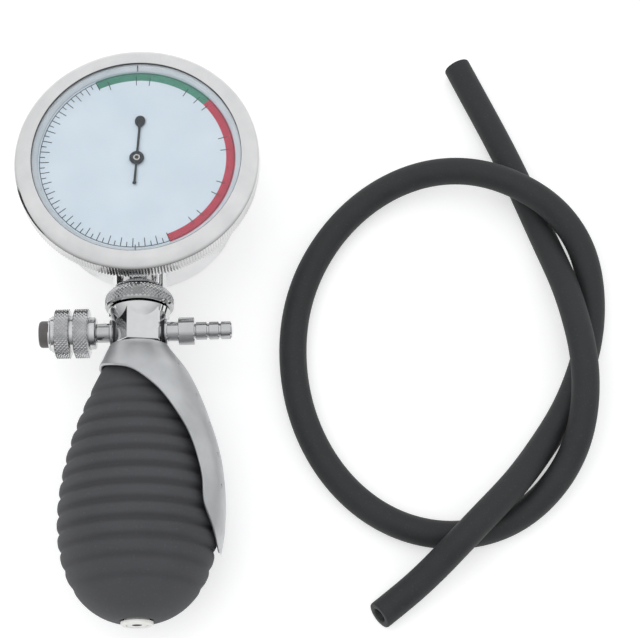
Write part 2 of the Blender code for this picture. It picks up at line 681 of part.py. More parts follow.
def toothed(centre, teeth, first, last, start):
    """Tooth outline points on a pitch circle, from tooth number first to last, counted from angle start."""
    pitch_r = MODULE * teeth / 2
    pitch = 2 * math.pi / teeth
    points = []
    for tooth in range(first, last + 1):
        middle = start + tooth * pitch
        wide, narrow = pitch * TOOTH_SHARE * 0.62, pitch * TOOTH_SHARE * 0.32
        corners = ((pitch_r - TOOTH_DEPTH, -wide), (pitch_r + TOOTH_HEIGHT, -narrow))
        corners += ((pitch_r + TOOTH_HEIGHT, narrow), (pitch_r - TOOTH_DEPTH, wide))
        for radius, off in corners:
            angle = middle + off
            points.append((centre[0] + radius * math.cos(angle), centre[1] + radius * math.sin(angle)))
    return points


def pointer_and_arbor(gauge):
    shaft, tail_half, tee = 0.0004, 0.00035, 0.00075
    hub_turn = math.asin(shaft / POINTER_HUB_R)
    blob_turn = math.asin(shaft / POINTER_BLOB_R)
    quarter = math.pi / 2
    right = [(tee, -POINTER_TAIL), (tee, -POINTER_TAIL + 0.0005), (tail_half, -POINTER_TAIL + 0.0007)]
    right += arc((0, 0), POINTER_HUB_R, -quarter + hub_turn, quarter - hub_turn, 8)
    right += arc((0, POINTER_BLOB_AT), POINTER_BLOB_R, -quarter + blob_turn, quarter, 6)
    left = [(-x, y) for x, y in right[-2::-1]]
    blade = slab("pointer", right + left, POINTER_LOW, POINTER_HIGH)
    hand = part("pointer", blade, "pointer_paint", gauge, rotation=(0, 0, -POINTER_REST))
    drill(hand, "pointer_eye", ARBOR_R + RUN, 0, 0.0030, gauge)
    to_sector = math.atan2(SECTOR_AT[1], SECTOR_AT[0])
    half_pitch = math.pi / PINION_TEETH
    teeth = toothed((0, 0), PINION_TEETH, 0, PINION_TEETH - 1, to_sector + half_pitch)
    arbor = part("pointer_arbor", slab("pointer_arbor", teeth, -0.0063, -0.0042), "brass", gauge)
    shape(arbor, "arbor_shaft", rod("arbor_shaft", ARBOR_R, -0.0089, 0.0010, FINE_SIDES), "UNION", gauge)


def sector(gauge):
    hub_r, web_r, rim_r = 0.0016, 0.0007, 0.0068
    to_pinion = math.atan2(-SECTOR_AT[1], -SECTOR_AT[0])
    pitch = 2 * math.pi / SECTOR_TEETH
    first = -math.ceil(SECTOR_SWING / pitch) - 1
    teeth = toothed((0, 0), SECTOR_TEETH, first, 1, to_pinion)
    low, high = to_pinion + (first - 0.5) * pitch, to_pinion + 1.5 * pitch
    tail_turn = 1.5 * math.pi - SECTOR_SWING / 2
    spread = math.asin(web_r / hub_r)
    tip = (SECTOR_TAIL * math.cos(tail_turn), SECTOR_TAIL * math.sin(tail_turn))
    outline = [(rim_r * math.cos(low), rim_r * math.sin(low))] + teeth
    outline.append((rim_r * math.cos(high), rim_r * math.sin(high)))
    outline += arc((0, 0), hub_r, high, tail_turn - spread, 5)
    outline += arc(tip, 0.0003, tail_turn - math.pi / 2, tail_turn + math.pi / 2, 3)
    outline += arc((0, 0), hub_r, tail_turn + spread, low + 2 * math.pi, 5)
    at = (*SECTOR_AT, 0)
    gear = part("sector_gear", slab("sector_gear", outline, SECTOR_LOW, SECTOR_HIGH), "brass", gauge, at)
    drill(gear, "sector_eye", 0.0006 + RUN, -0.0080, -0.0030, gauge, at)
    shaft = rod("sector_shaft", 0.0006, -0.0090, -0.0029, FINE_SIDES)
    part("sector_shaft", shaft, "spring_steel", gauge, at)


def rocker(gauge):
    """The rocking shaft lies along the gauge's y. One arm rests on the capsule's pin, one pushes the sector."""
    x, z = ROCKER_AT
    at_rest = (0, -ROCKER_SWING / 2, 0)
    half = 0.00036
    arm = slab("rocker_shaft", ((-x - 0.0006, -0.0005), (0, -0.0005), (0, 0.0005), (-x - 0.0006, 0.0005)), -half, half)
    shaft = part("rocker_shaft", arm, "spring_steel", gauge, (x, 0, z), at_rest)
    along = rod("rocker_axle", ROCKER_R, -0.0128, 0.0030, FINE_SIDES)
    shape(shaft, "rocker_axle", along, "UNION", shaft, rotation=ALONG_Y)
    reach = SECTOR_HIGH - z + 0.0002
    finger = ((-half, ROCKER_ARM_Y - 0.0005), (half, ROCKER_ARM_Y - 0.0005))
    finger += ((half, ROCKER_ARM_Y + 0.0005), (-half, ROCKER_ARM_Y + 0.0005))
    shape(shaft, "rocker_finger", slab("rocker_finger", finger, 0, reach), "UNION", shaft)
    for number, y in ((1, -0.0122), (2, 0.0022)):
        side = 0.0016
        ear = slab(f"rocker_ear_{number}", ((-side, -side), (side, -side), (side, side), (-side, side)), -0.0005, 0.0005)
        plate = part(f"rocker_ear_{number}", ear, "brass", gauge, (x, y, PLATE_LOW - GAP - side), ALONG_Y)
        drill(plate, f"rocker_ear_hole_{number}", ROCKER_R + RUN, y - 0.0020, y + 0.0020, gauge, (x, 0, z), ALONG_Y)


def rounded_plate():
    """A triangle of three round corners."""
    outline = []
    for i, corner in enumerate(PLATE_CORNERS):
        before = PLATE_CORNERS[i - 1]
        after = PLATE_CORNERS[(i + 1) % 3]
        start = math.atan2(corner[1] - before[1], corner[0] - before[0]) - math.pi / 2
        end = math.atan2(after[1] - corner[1], after[0] - corner[0]) - math.pi / 2
        if end < start:
            end += 2 * math.pi
        outline += arc(corner, PLATE_CORNER_R, start, end, 4)
    return outline


def movement_frame(gauge):
    plate = part("movement_plate", slab("movement_plate", rounded_plate(), PLATE_LOW, PLATE_HIGH), "brass", gauge)
    bridge = part("movement_bridge", slab("movement_bridge", rounded_plate(), BRIDGE_LOW, BRIDGE_HIGH), "brass", gauge)
    for carrier in (plate, bridge):
        drill(carrier, f"{carrier.name}_arbor_hole", ARBOR_R + RUN, -0.0110, -0.0010, gauge)
        drill(carrier, f"{carrier.name}_sector_hole", 0.0006 + RUN, -0.0110, -0.0010, gauge, (*SECTOR_AT, 0))
    slot_x, slot_y = 0.0016, 0.0008
    slot = ((-slot_x, -slot_y), (slot_x, -slot_y), (slot_x, slot_y), (-slot_x, slot_y))
    window = slab("plate_window", slot, -0.0110, -0.0070)
    shape(plate, "plate_window", window, "DIFFERENCE", gauge, (ROCKER_AT[0], ROCKER_ARM_Y, 0))
    for number, (x, y) in enumerate(PLATE_CORNERS, 1):
        post = rod(f"movement_post_{number}", 0.0016, CASE_BACK + CASE_WALL + GAP, PLATE_LOW - GAP, FINE_SIDES)
        part(f"movement_post_{number}", post, "brass", gauge, (x, y, 0))
        pillar = rod(f"movement_pillar_{number}", 0.0013, PLATE_HIGH + GAP, BRIDGE_LOW - GAP, FINE_SIDES)
        part(f"movement_pillar_{number}", pillar, "brass", gauge, (x, y, 0))
        screw = rod(f"bridge_screw_{number}", 0.0013, BRIDGE_HIGH + 0.0002, -0.0012, FINE_SIDES)
        part(f"bridge_screw_{number}", screw, "spring_steel", gauge, (x, y, 0))


def hairspring(gauge):
    turns, steps, start_r, end_r, half = 2.5, 12, 0.0012, 0.0050, 0.00006
    outer, inner = [], []
    for step in range(int(turns * steps) + 1):
        angle = 2 * math.pi * step / steps
        radius = start_r + (end_r - start_r) * step / (turns * steps)
        outer.append(((radius + half) * math.cos(angle), (radius + half) * math.sin(angle)))
        inner.append(((radius - half) * math.cos(angle), (radius - half) * math.sin(angle)))
    ribbon = slab("hairspring", outer + inner[::-1], BRIDGE_HIGH + 0.0004, -0.0011)
    part("hairspring", ribbon, "spring_steel", gauge)


def capsule(gauge):
    ridge = 0.0006
    under = [(0, CAPSULE_LOW)]
    over = [(0, CAPSULE_HIGH)]
    for step, radius in enumerate((0.0040, 0.0060, 0.0080, 0.0100, 0.0120)):
        under.append((radius, CAPSULE_LOW + ridge * (step % 2)))
        over.append((radius, CAPSULE_HIGH - ridge * (step % 2)))
    rim = [(CAPSULE_R, -0.0182), (CAPSULE_R, -0.0170)]
    part("capsule", turned("capsule", under + rim + over[::-1], 32), "brass", gauge)
    stud = rod("capsule_stud", 0.0022, CASE_BACK + CASE_WALL + GAP, CAPSULE_LOW - GAP, FINE_SIDES)
    part("capsule_stud", stud, "brass", gauge)
    pin = rod("capsule_pin", 0.0006, CAPSULE_HIGH + GAP, -0.0130, FINE_SIDES)
    part("capsule_pin", pin, "spring_steel", gauge)
    stem_end = -STEM_REACH + STEM_TAIL + GAP
    under_capsule = CAPSULE_LOW - 0.0016
    route = (
        (0, stem_end, -DIAL_FORWARD),
        (0, stem_end + 0.0018, -DIAL_FORWARD - 0.0010),
        (0, stem_end + 0.0030, -DIAL_FORWARD - 0.0050),
        (0, stem_end + 0.0046, under_capsule + 0.0016),
        (0, stem_end + 0.0080, under_capsule),
        (0, -0.0026, under_capsule),
    )
    part("feed_tube", tube("feed_tube", smooth_route(route, 14), 0.0007, 1), "brass", gauge)


def hose():
    middle_line = smooth_route(HOSE_ROUTE, HOSE_POINTS)
    length = np.linalg.norm(np.diff(middle_line, axis=0), axis=1).sum()
    print("hose length", round(length, 4), "least gap", round(least_gap(middle_line, 2 * HOSE_R, 0.05), 5))
    part("hose", tube("hose", middle_line, HOSE_R, 3), "hose_rubber", None)


pump_frame = place("pump_frame", None, None, (0, AXIS_Y, AXIS_Z))
stem_frame = place("stem_frame", None, pump_frame, (0, NUT_Y, 0), (-math.pi / 2 - LEAN, 0, 0))
gauge_frame = place("gauge_frame", None, pump_frame, (0, DIAL_Y, DIAL_Z), (-LEAN, 0, 0))

bulb(pump_frame)
palm_shell(pump_frame)
bulb_connector(pump_frame)
end_valve(pump_frame)
valve_block(pump_frame, stem_frame)
hose_nipple(pump_frame)
release_valve(pump_frame)
union(stem_frame)
gauge_case(gauge_frame, stem_frame)
gauge_front(gauge_frame)
pointer_and_arbor(gauge_frame)
sector(gauge_frame)
rocker(gauge_frame)
movement_frame(gauge_frame)
hairspring(gauge_frame)
capsule(gauge_frame)
hose()
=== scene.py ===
"""Looks of the hand vacuum pump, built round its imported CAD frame.

Outlines are millimetres, as (radius, height) along the axis of the fitting that they belong to.
Heights along the pump count from the crossing of its two side ports, towards the gauge.
"""

import json
import math

import bmesh
import bpy
import numpy as np
from mathutils import Euler, Matrix, Vector


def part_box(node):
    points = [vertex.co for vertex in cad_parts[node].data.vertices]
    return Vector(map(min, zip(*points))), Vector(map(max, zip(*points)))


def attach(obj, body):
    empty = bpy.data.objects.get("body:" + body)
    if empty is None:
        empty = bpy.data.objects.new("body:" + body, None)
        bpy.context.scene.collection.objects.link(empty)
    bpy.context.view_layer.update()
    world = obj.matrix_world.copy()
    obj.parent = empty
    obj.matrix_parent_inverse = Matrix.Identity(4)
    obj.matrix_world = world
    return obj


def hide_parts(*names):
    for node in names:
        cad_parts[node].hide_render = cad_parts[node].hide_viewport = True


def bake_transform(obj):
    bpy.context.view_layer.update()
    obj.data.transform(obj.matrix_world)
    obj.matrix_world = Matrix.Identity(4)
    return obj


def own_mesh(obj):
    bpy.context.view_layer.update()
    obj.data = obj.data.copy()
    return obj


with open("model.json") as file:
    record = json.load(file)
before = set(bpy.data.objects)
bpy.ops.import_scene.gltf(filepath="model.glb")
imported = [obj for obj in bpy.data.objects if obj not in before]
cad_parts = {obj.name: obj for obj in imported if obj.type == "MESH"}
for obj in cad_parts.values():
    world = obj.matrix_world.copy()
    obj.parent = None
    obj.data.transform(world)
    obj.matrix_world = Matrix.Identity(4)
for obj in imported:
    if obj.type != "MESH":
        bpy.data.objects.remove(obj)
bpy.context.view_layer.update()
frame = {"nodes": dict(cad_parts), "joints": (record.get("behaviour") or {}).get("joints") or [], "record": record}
nodes = frame["nodes"]
joints = {joint["name"]: joint for joint in frame["joints"]}
slot_of = {row["node"]: row["material_slot"] for row in frame["record"]["subparts"]}

MM = 0.001
FULL_TURN = 2 * math.pi
SAME_PLACE = 0.000002

# Angles up to which an edge is shaded smooth
SMOOTH = math.radians(32)
SMOOTH_BLOCK = math.radians(9)
SMOOTH_KNURL = math.radians(28)
SMOOTH_SHEET = math.radians(40)
SMOOTH_ROUND = math.radians(60)

# Places that the frame gives
dial_centre = Vector(joints["pointer_turn"]["pos_m"])
dial_front = -Vector(joints["pointer_turn"]["axis"])
lean = math.atan2(dial_front.y, dial_front.z)
knob_axis = Vector(joints["valve_turn"]["pos_m"])
crossing = Vector((0, knob_axis.y, knob_axis.z))
nut_low, nut_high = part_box("union_nut")
nut_middle = (nut_low + nut_high) / 2


def seat(origin, turn):
    """Where a fitting sits and which way its z axis points."""
    return Matrix.Translation(origin) @ Euler(turn).to_matrix().to_4x4()


ALONG_PUMP = seat(crossing, (-math.pi / 2, 0, 0))
TO_VALVE = seat(crossing, (0, -math.pi / 2, 0))
TO_HOSE = seat(crossing, (0, math.pi / 2, 0))
STEM = seat(nut_middle, (-math.pi / 2 - lean, 0, 0))
GAUGE = seat(dial_centre, (-lean, 0, 0))
ON_FLOOR = Matrix.Identity(4)

# Camera at the photograph's height and turn, in metres
EYE = Vector((0.0441, -0.1691, 0.4921))
TARGET = Vector((0.0487, 0.0100, 0.0))
LENS = 105.0
FILM = 36.0

# Bulb and palm shell
BULB_R = 20.8
BELLY, BULB_END, BULB_TOP, NECK_FULL = -51.5, -78.6, -6.1, -6.0
NECK_DROP, NECK_TAPER, END_FULLNESS = 13.8, 1.85, 2.25
FIRST_GROOVE, LAST_GROOVE, GROOVES = -18.6, -69.4, 12
GROOVE_DEPTH = 0.72
GROOVE_SHARPNESS = 2.2
# How dark the shade painted into the bulb's grooves goes
GROOVE_SHADE = 0.50
BULB_LIP = -78.0
BULB_WALL = 2.8
BULB_INSIDE = (-73.5, -17.5)
NECK_BORE_R, END_BORE_R = 6.0, 3.6
SHELL_WALL = 1.0
SHELL_RIM_R = 0.5
SHELL_OUTSIDE = (
    (8.2, -5.0), (10.8, -8.4), (13.0, -11.5), (15.1, -15.5), (16.9, -19.7), (18.7, -24.7), (20.3, -29.7),
    (21.6, -34.9), (22.4, -40.6), (22.8, -46.6), (22.7, -51.9), (22.3, -56.6), (21.7, -59.8), (20.9, -63.5),
)
SHELL_EDGE = (
    (-13.5, -8.4), (-10.0, -10.4), (-6.6, -12.1), (-3.0, -13.3), (-0.8, -14.2), (3.2, -17.1), (6.8, -20.5),
    (10.9, -26.0), (14.5, -32.3), (16.7, -38.8), (17.9, -45.3), (18.2, -50.4), (19.9, -55.3), (21.0, -59.6),
    (21.7, -63.2),
)
SHELL_TUCK = ((-5.0, 1.0), (-8.4, 0.89), (-10.4, 0.865), (-20.0, 0.865))
DIMPLES = ((11.4, -11.8), (15.9, -20.0), (19.0, -27.7), (21.1, -35.9), (22.0, -44.5))

# Valve block, knurled nut and knob
BLOCK_TURN = math.radians(12.5)
PORT_FLAT = 5.9
NEAR_RIM = 0.05
SAME_HEIGHT = 0.01
KNURL_DEPTH = 0.42

# Hose, in metres
HOSE_R = 0.0038
HOSE_BORE_R = 0.0020
HOSE_STEPS = 320
HOSE_SLANT = 0.30
HOSE_ROUTE = (
    (0.0906, 0.0862, 0.0039), (0.0952, 0.0755, 0.0039), (0.1009, 0.0622, 0.0039),
    (0.1052, 0.0514, 0.0039), (0.1091, 0.0406, 0.0040), (0.1133, 0.0270, 0.0062),
    (0.1163, 0.0161, 0.0091), (0.1185, 0.0049, 0.0114), (0.1200, -0.0095, 0.0123),
    (0.1192, -0.0210, 0.0112), (0.1161, -0.0318, 0.0084), (0.1081, -0.0432, 0.0050),
    (0.0988, -0.0500, 0.0040), (0.0878, -0.0534, 0.0039), (0.0735, -0.0524, 0.0039),
    (0.0629, -0.0476, 0.0039), (0.0542, -0.0400, 0.0039), (0.0464, -0.0279, 0.0039),
    (0.0426, -0.0169, 0.0039), (0.0410, -0.0054, 0.0039), (0.0419, 0.0090, 0.0039),
    (0.0451, 0.0201, 0.0039), (0.0505, 0.0303, 0.0039), (0.0601, 0.0412, 0.0044),
    (0.0698, 0.0473, 0.0058), (0.0807, 0.0501, 0.0082), (0.0946, 0.0485, 0.0113),
    (0.1052, 0.0438, 0.0124), (0.1145, 0.0369, 0.0118), (0.1223, 0.0252, 0.0084),
    (0.1243, 0.0142, 0.0056), (0.1234, 0.0029, 0.0041), (0.1191, -0.0109, 0.0039),
    (0.1139, -0.0212, 0.0043), (0.1075, -0.0308, 0.0060), (0.0990, -0.0418, 0.0098),
    (0.0912, -0.0500, 0.0121), (0.0830, -0.0580, 0.0111), (0.0726, -0.0670, 0.0060),
    (0.0621, -0.0749, 0.0039),
)

# Dial, in degrees clockwise from the top
GREEN_FROM, RED_FROM, SCALE_FROM = -26.0, 48.0, 160.0
SCALE_STEPS = 48
ARC_TICKS = (-19.0, -1.0, 7.8, 33.2, 42.5, 50.5, 76.0, 85.0, 108.8, 117.6, 134.5, 142.0)
PRINT_LOW = -0.02
ARC_INSIDE, ARC_OUTSIDE, ARC_THICK = 24.2, 26.7, 0.06
TICK_TOP, TICK_WIDTH = 0.07, 0.22
POINTER_REST = 4.0
HUB_R = 2.0
CAN_BACK = -30.424
RIM_R = 33.2

# Floor and light
FLOOR_SIZE = 4.0
FLOOR_DROP = 0.0002
FLOOR_LIFT = 0.45
WORLD_LIGHT = 0.85
DARK_SIDE = 0.20
PALE_SIDE = (0.0, 0.6, 0.8)
DOME_FADE = (-0.35, 0.55)
LAMP_PLACE, LAMP_AIM = (-0.25, -0.10, 1.2), (0.03, 0, 0)
LAMP_SIZE, LAMP_WATTS = 1.2, 4.0
CARD_PLACE, CARD_AIM = (-0.076, 0.0275, 0.021), (0, 0.0275, 0.021)
CARD_WIDTH, CARD_HEIGHT = 0.040, 0.060


# Modelling by hand

def start(name):
    """One point at the origin, open in edit mode, to draw an outline from."""
    bpy.ops.object.select_all(action="DESELECT")
    bpy.ops.mesh.primitive_plane_add(size=MM)
    piece = bpy.context.object
    piece.name = name
    piece.data.name = name
    bpy.ops.object.mode_set(mode="EDIT")
    bpy.ops.mesh.select_mode(type="VERT")
    bpy.ops.mesh.merge(type="CENTER")
    return piece


def draw(points):
    """Extrudes the selected point through these places, in millimetres."""
    here = Vector((0, 0, 0))
    for count, place in enumerate(points):
        there = Vector(place) * MM
        if count == 0:
            bpy.ops.transform.translate(value=there - here)
        else:
            bpy.ops.mesh.extrude_vertices_move(TRANSFORM_OT_translate={"value": there - here})
        here = there


def close_up():
    """Merges the points that meet and turns every face outwards."""
    bpy.ops.mesh.select_all(action="SELECT")
    bpy.ops.mesh.remove_doubles(threshold=SAME_PLACE)
    bpy.ops.mesh.normals_make_consistent(inside=False)


def turned(name, outline, steps=64):
    """Spins an outline round the local z axis and leaves it open in edit mode."""
    piece = start(name)
    draw([(radius, 0, height) for radius, height in outline])
    bpy.ops.mesh.select_all(action="SELECT")
    bpy.ops.mesh.spin(steps=steps, angle=FULL_TURN, center=(0, 0, 0), axis=(0, 0, 1))
    close_up()
    return piece


def turned_ring(name, outline, steps=64):
    """The same with the outline closed, so that the piece is hollow."""
    return turned(name, list(outline) + [outline[0]], steps)


def plate(name, outline, low, high):
    """A flat outline in x and y, raised from one height to another."""
    piece = start(name)
    draw([(x, y, low) for x, y in list(outline) + [outline[0]]])
    bpy.ops.mesh.select_all(action="SELECT")
    bpy.ops.mesh.remove_doubles(threshold=SAME_PLACE)
    bpy.ops.mesh.edge_face_add()
    bpy.ops.mesh.extrude_region_move(TRANSFORM_OT_translate={"value": (0, 0, (high - low) * MM)})
    close_up()
    return piece


def pick(test):
    """Selects the points of the open piece whose place, in millimetres, passes the test."""
    piece = bpy.context.object
    bpy.ops.mesh.select_mode(type="VERT")
    bpy.ops.mesh.select_all(action="DESELECT")
    mesh = bmesh.from_edit_mesh(piece.data)
    for point in mesh.verts:
        point.select_set(bool(test(point.co / MM)))
    mesh.select_flush_mode()
    bmesh.update_edit_mesh(piece.data)


def press_in(radius, depth):
    """Moves the picked points towards the axis."""
    share = (radius - depth) / radius
    bpy.ops.transform.resize(value=(share, share, 1), center_override=(0, 0, 0))


def column_of(place, columns):
    return round(math.atan2(place.y, place.x) / FULL_TURN * columns)


def flute(radius, low, high, columns, depth):
    """Straight flutes along the axis."""
    def hollow(place):
        on_rim = place.xy.length > radius - NEAR_RIM
        return on_rim and low <= place.z <= high and column_of(place, columns) % 2

    pick(hollow)
    press_in(radius, depth)


def knurl(radius, low, pitch, rows, columns):
    """Diamond knurling: every other point of the band is pressed in."""
    def hollow(place):
        row = round((place.z - low) / pitch)
        in_band = 0 <= row <= rows and abs(place.z - low - row * pitch) < SAME_HEIGHT
        on_rim = place.xy.length >= radius - NEAR_RIM
        return in_band and on_rim and (column_of(place, columns) + row) % 2

    pick(hollow)
    press_in(radius, KNURL_DEPTH)


def split_diamonds():
    """Cuts every face along its valley, once all the knurled bands are pressed."""
    bpy.ops.mesh.select_all(action="SELECT")
    bpy.ops.mesh.quads_convert_to_tris(quad_method="SHORTEST_DIAGONAL")


def band(radius, low, pitch, rows):
    """Outline points of a knurled band."""
    return [(radius, low + pitch * row) for row in range(rows + 1)]


def choose(piece):
    """Leaves edit mode and makes this the one piece to work on."""
    if bpy.context.object and bpy.context.object.mode == "EDIT":
        bpy.ops.object.mode_set(mode="OBJECT")
    bpy.ops.object.select_all(action="DESELECT")
    piece.select_set(True)
    bpy.context.view_layer.objects.active = piece


def settle(piece, place, smooth=SMOOTH):
    """Puts a finished outline where it belongs and leaves its object at the origin."""
    choose(piece)
    piece.matrix_world = place
    bpy.ops.object.transform_apply(location=True, rotation=True, scale=True)
    bpy.ops.object.shade_smooth_by_angle(angle=smooth)
    return piece


def soften(piece, width, segments=2, limit=35):
    """Rounds the sharp edges by a width in millimetres."""
    choose(piece)
    edge = piece.modifiers.new("rounded edges", "BEVEL")
    edge.width = width * MM
    edge.segments = segments
    edge.limit_method = "ANGLE"
    edge.angle_limit = math.radians(limit)
    edge.use_clamp_overlap = True
    bpy.ops.object.modifier_apply(modifier=edge.name)
    return piece


def combine(piece, tool, operation):
    """Joins a settled tool to a settled piece or cuts with it, and removes the tool."""
    choose(piece)
    change = piece.modifiers.new("shaping", "BOOLEAN")
    change.object = tool
    change.operation = operation
    change.solver = "EXACT"
    bpy.ops.object.modifier_apply(modifier=change.name)
    bpy.data.objects.remove(tool)
    return piece


def round_tube(name, points, radius, closed=False, resolution=4):
    """A tube along points in millimetres, drawn as a chain of edges and thickened."""
    piece = start(name)
    draw(list(points) + ([points[0]] if closed else []))
    bpy.ops.mesh.select_all(action="SELECT")
    bpy.ops.mesh.remove_doubles(threshold=SAME_PLACE)
    bpy.ops.object.mode_set(mode="OBJECT")
    bpy.ops.object.convert(target="CURVE")
    piece = bpy.context.object
    piece.data.bevel_depth = radius * MM
    piece.data.bevel_resolution = resolution
    bpy.ops.object.convert(target="MESH")
    return bpy.context.object


def copies_round(piece, degrees):
    """Copies of a small mark round the local z axis, clockwise from the top, joined into one piece."""
    choose(piece)
    copies = []
    for turn in degrees:
        copy = piece.copy()
        copy.data = piece.data.copy()
        bpy.context.collection.objects.link(copy)
        copy.matrix_world = Matrix.Rotation(math.radians(-turn), 4, "Z")
        copies.append(copy)
    name = piece.name
    bpy.data.objects.remove(piece)
    bpy.ops.object.select_all(action="DESELECT")
    for copy in copies:
        copy.select_set(True)
    bpy.context.view_layer.objects.active = copies[0]
    bpy.ops.object.transform_apply(location=True, rotation=True, scale=True)
    bpy.ops.object.join()
    joined = bpy.context.object
    joined.name = name
    joined.data.name = name
    return joined


def smooth_route(points, count):
    """Evenly spaced points on the natural cubic spline through the given ones."""
    route = np.array(points, dtype=float)
    span = np.linalg.norm(np.diff(route, axis=0), axis=1)
    system = np.eye(len(route))
    slope_change = np.zeros_like(route)
    for i in range(1, len(route) - 1):
        system[i, i - 1:i + 2] = span[i - 1], 2 * (span[i - 1] + span[i]), span[i]
        ahead = (route[i + 1] - route[i]) / span[i]
        behind = (route[i] - route[i - 1]) / span[i - 1]
        slope_change[i] = 6 * (ahead - behind)
    bend = np.linalg.solve(system, slope_change)
    dense = []
    for i, length in enumerate(span):
        for share in np.linspace(0, 1, 40, endpoint=False):
            left, right = (1 - share) * length, share * length
            chord = route[i] * (1 - share) + route[i + 1] * share
            sag_left = bend[i] * (left ** 3 / length - length * left)
            sag_right = bend[i + 1] * (right ** 3 / length - length * right)
            dense.append(chord + (sag_left + sag_right) / 6)
    dense.append(route[-1])
    dense = np.array(dense)
    travelled = np.concatenate(([0], np.cumsum(np.linalg.norm(np.diff(dense, axis=0), axis=1))))
    even = np.linspace(0, travelled[-1], count)
    return np.column_stack([np.interp(even, travelled, dense[:, axis]) for axis in range(3)])


def smooth_outline(points, count):
    """The same curve through points of an outline."""
    return [(first, second) for first, second, _ in smooth_route([(*point, 0) for point in points], count)]


# Effects that several finishes share

def effect(name, inputs, outputs):
    """An empty group of nodes, with its given and its put sockets."""
    tree = bpy.data.node_groups.new(name, "ShaderNodeTree")
    for label, kind, value in inputs:
        socket = tree.interface.new_socket(label, in_out="INPUT", socket_type=kind)
        if value is not None:
            socket.default_value = value
    for label, kind in outputs:
        tree.interface.new_socket(label, in_out="OUTPUT", socket_type=kind)
    return tree, tree.nodes.new("NodeGroupInput").outputs, tree.nodes.new("NodeGroupOutput").inputs


def noise(tree, vector, scale, detail, roughness=0.5):
    texture = tree.nodes.new("ShaderNodeTexNoise")
    texture.inputs["Detail"].default_value = detail
    texture.inputs["Roughness"].default_value = roughness
    tree.links.new(vector, texture.inputs["Vector"])
    if isinstance(scale, (int, float)):
        texture.inputs["Scale"].default_value = scale
    else:
        tree.links.new(scale, texture.inputs["Scale"])
    return texture.outputs["Fac"]


def remap(tree, value, low, high, out_low=0.0, out_high=1.0):
    """Stretches a value from one span to another, held inside the second."""
    span = tree.nodes.new("ShaderNodeMapRange")
    span.clamp = True
    tree.links.new(value, span.inputs["Value"])
    ends = ("From Min", low), ("From Max", high), ("To Min", out_low), ("To Max", out_high)
    for label, end in ends:
        if isinstance(end, (int, float)):
            span.inputs[label].default_value = end
        else:
            tree.links.new(end, span.inputs[label])
    return span.outputs["Result"]


def mixed(tree, mask, first, second):
    """A colour between two, by a mask."""
    mix = tree.nodes.new("ShaderNodeMix")
    mix.data_type = "RGBA"
    tree.links.new(mask, mix.inputs["Factor"])
    for socket, colour in ((mix.inputs[6], first), (mix.inputs[7], second)):
        if isinstance(colour, tuple):
            socket.default_value = (*colour, 1)
        else:
            tree.links.new(colour, socket)
    return mix.outputs[2]


def make_clouding():
    """Soft patches between two colours, with the mask that drew them."""
    tree, given, put = effect(
        "clouding",
        (("Vector", "NodeSocketVector", None), ("Scale", "NodeSocketFloat", 80.0),
         ("Dark", "NodeSocketColor", None), ("Light", "NodeSocketColor", None)),
        (("Color", "NodeSocketColor"), ("Mask", "NodeSocketFloat")),
    )
    mask = remap(tree, noise(tree, given["Vector"], given["Scale"], 4.0, 0.55), 0.32, 0.68)
    tree.links.new(mixed(tree, mask, given["Dark"], given["Light"]), put["Color"])
    tree.links.new(mask, put["Mask"])
    return tree


def make_grain():
    """Fine even grain, coarse and fine together."""
    tree, given, put = effect(
        "grain",
        (("Vector", "NodeSocketVector", None), ("Scale", "NodeSocketFloat", 2500.0)),
        (("Height", "NodeSocketFloat"),),
    )
    tree.links.new(noise(tree, given["Vector"], given["Scale"], 3.0, 0.7), put["Height"])
    return tree


def make_hairlines():
    """Fine scratches that run one way, as polishing leaves them."""
    tree, given, put = effect(
        "hairlines",
        (("Vector", "NodeSocketVector", None), ("Stretch", "NodeSocketVector", (1, 1, 1))),
        (("Height", "NodeSocketFloat"),),
    )
    stretched = tree.nodes.new("ShaderNodeVectorMath")
    stretched.operation = "MULTIPLY"
    tree.links.new(given["Vector"], stretched.inputs[0])
    tree.links.new(given["Stretch"], stretched.inputs[1])
    lines = noise(tree, stretched.outputs["Vector"], 1.0, 2.0)
    tree.links.new(remap(tree, lines, 0.35, 0.65), put["Height"])
    return tree


def make_specks():
    """Scattered pale specks, as lint and dust on rubber."""
    tree, given, put = effect(
        "specks",
        (("Vector", "NodeSocketVector", None), ("Scale", "NodeSocketFloat", 900.0),
         ("Amount", "NodeSocketFloat", 0.5)),
        (("Mask", "NodeSocketFloat"),),
    )
    fine = remap(tree, noise(tree, given["Vector"], given["Scale"], 2.0), 0.60, 0.74)
    amount = tree.nodes.new("ShaderNodeMath")
    amount.operation = "MULTIPLY"
    tree.links.new(fine, amount.inputs[0])
    tree.links.new(given["Amount"], amount.inputs[1])
    tree.links.new(amount.outputs["Value"], put["Mask"])
    return tree


clouding = make_clouding()
grain = make_grain()
hairlines = make_hairlines()
specks = make_specks()


# Finishes

def blank(name, metallic=0.0, specular=0.5):
    """A new finish: its nodes, its shader and its place on the piece."""
    finish = bpy.data.materials.new(name)
    finish.use_nodes = True
    tree = finish.node_tree
    shader = tree.nodes["Principled BSDF"]
    shader.inputs["Metallic"].default_value = metallic
    shader.inputs["Specular IOR Level"].default_value = specular
    place = tree.nodes.new("ShaderNodeTexCoord").outputs["Object"]
    return finish, tree, shader.inputs, place


def add(tree, group, place, **values):
    effect_node = tree.nodes.new("ShaderNodeGroup")
    effect_node.node_tree = group
    tree.links.new(place, effect_node.inputs["Vector"])
    for label, value in values.items():
        effect_node.inputs[label].default_value = (*value, 1) if label in ("Dark", "Light") else value
    return effect_node.outputs


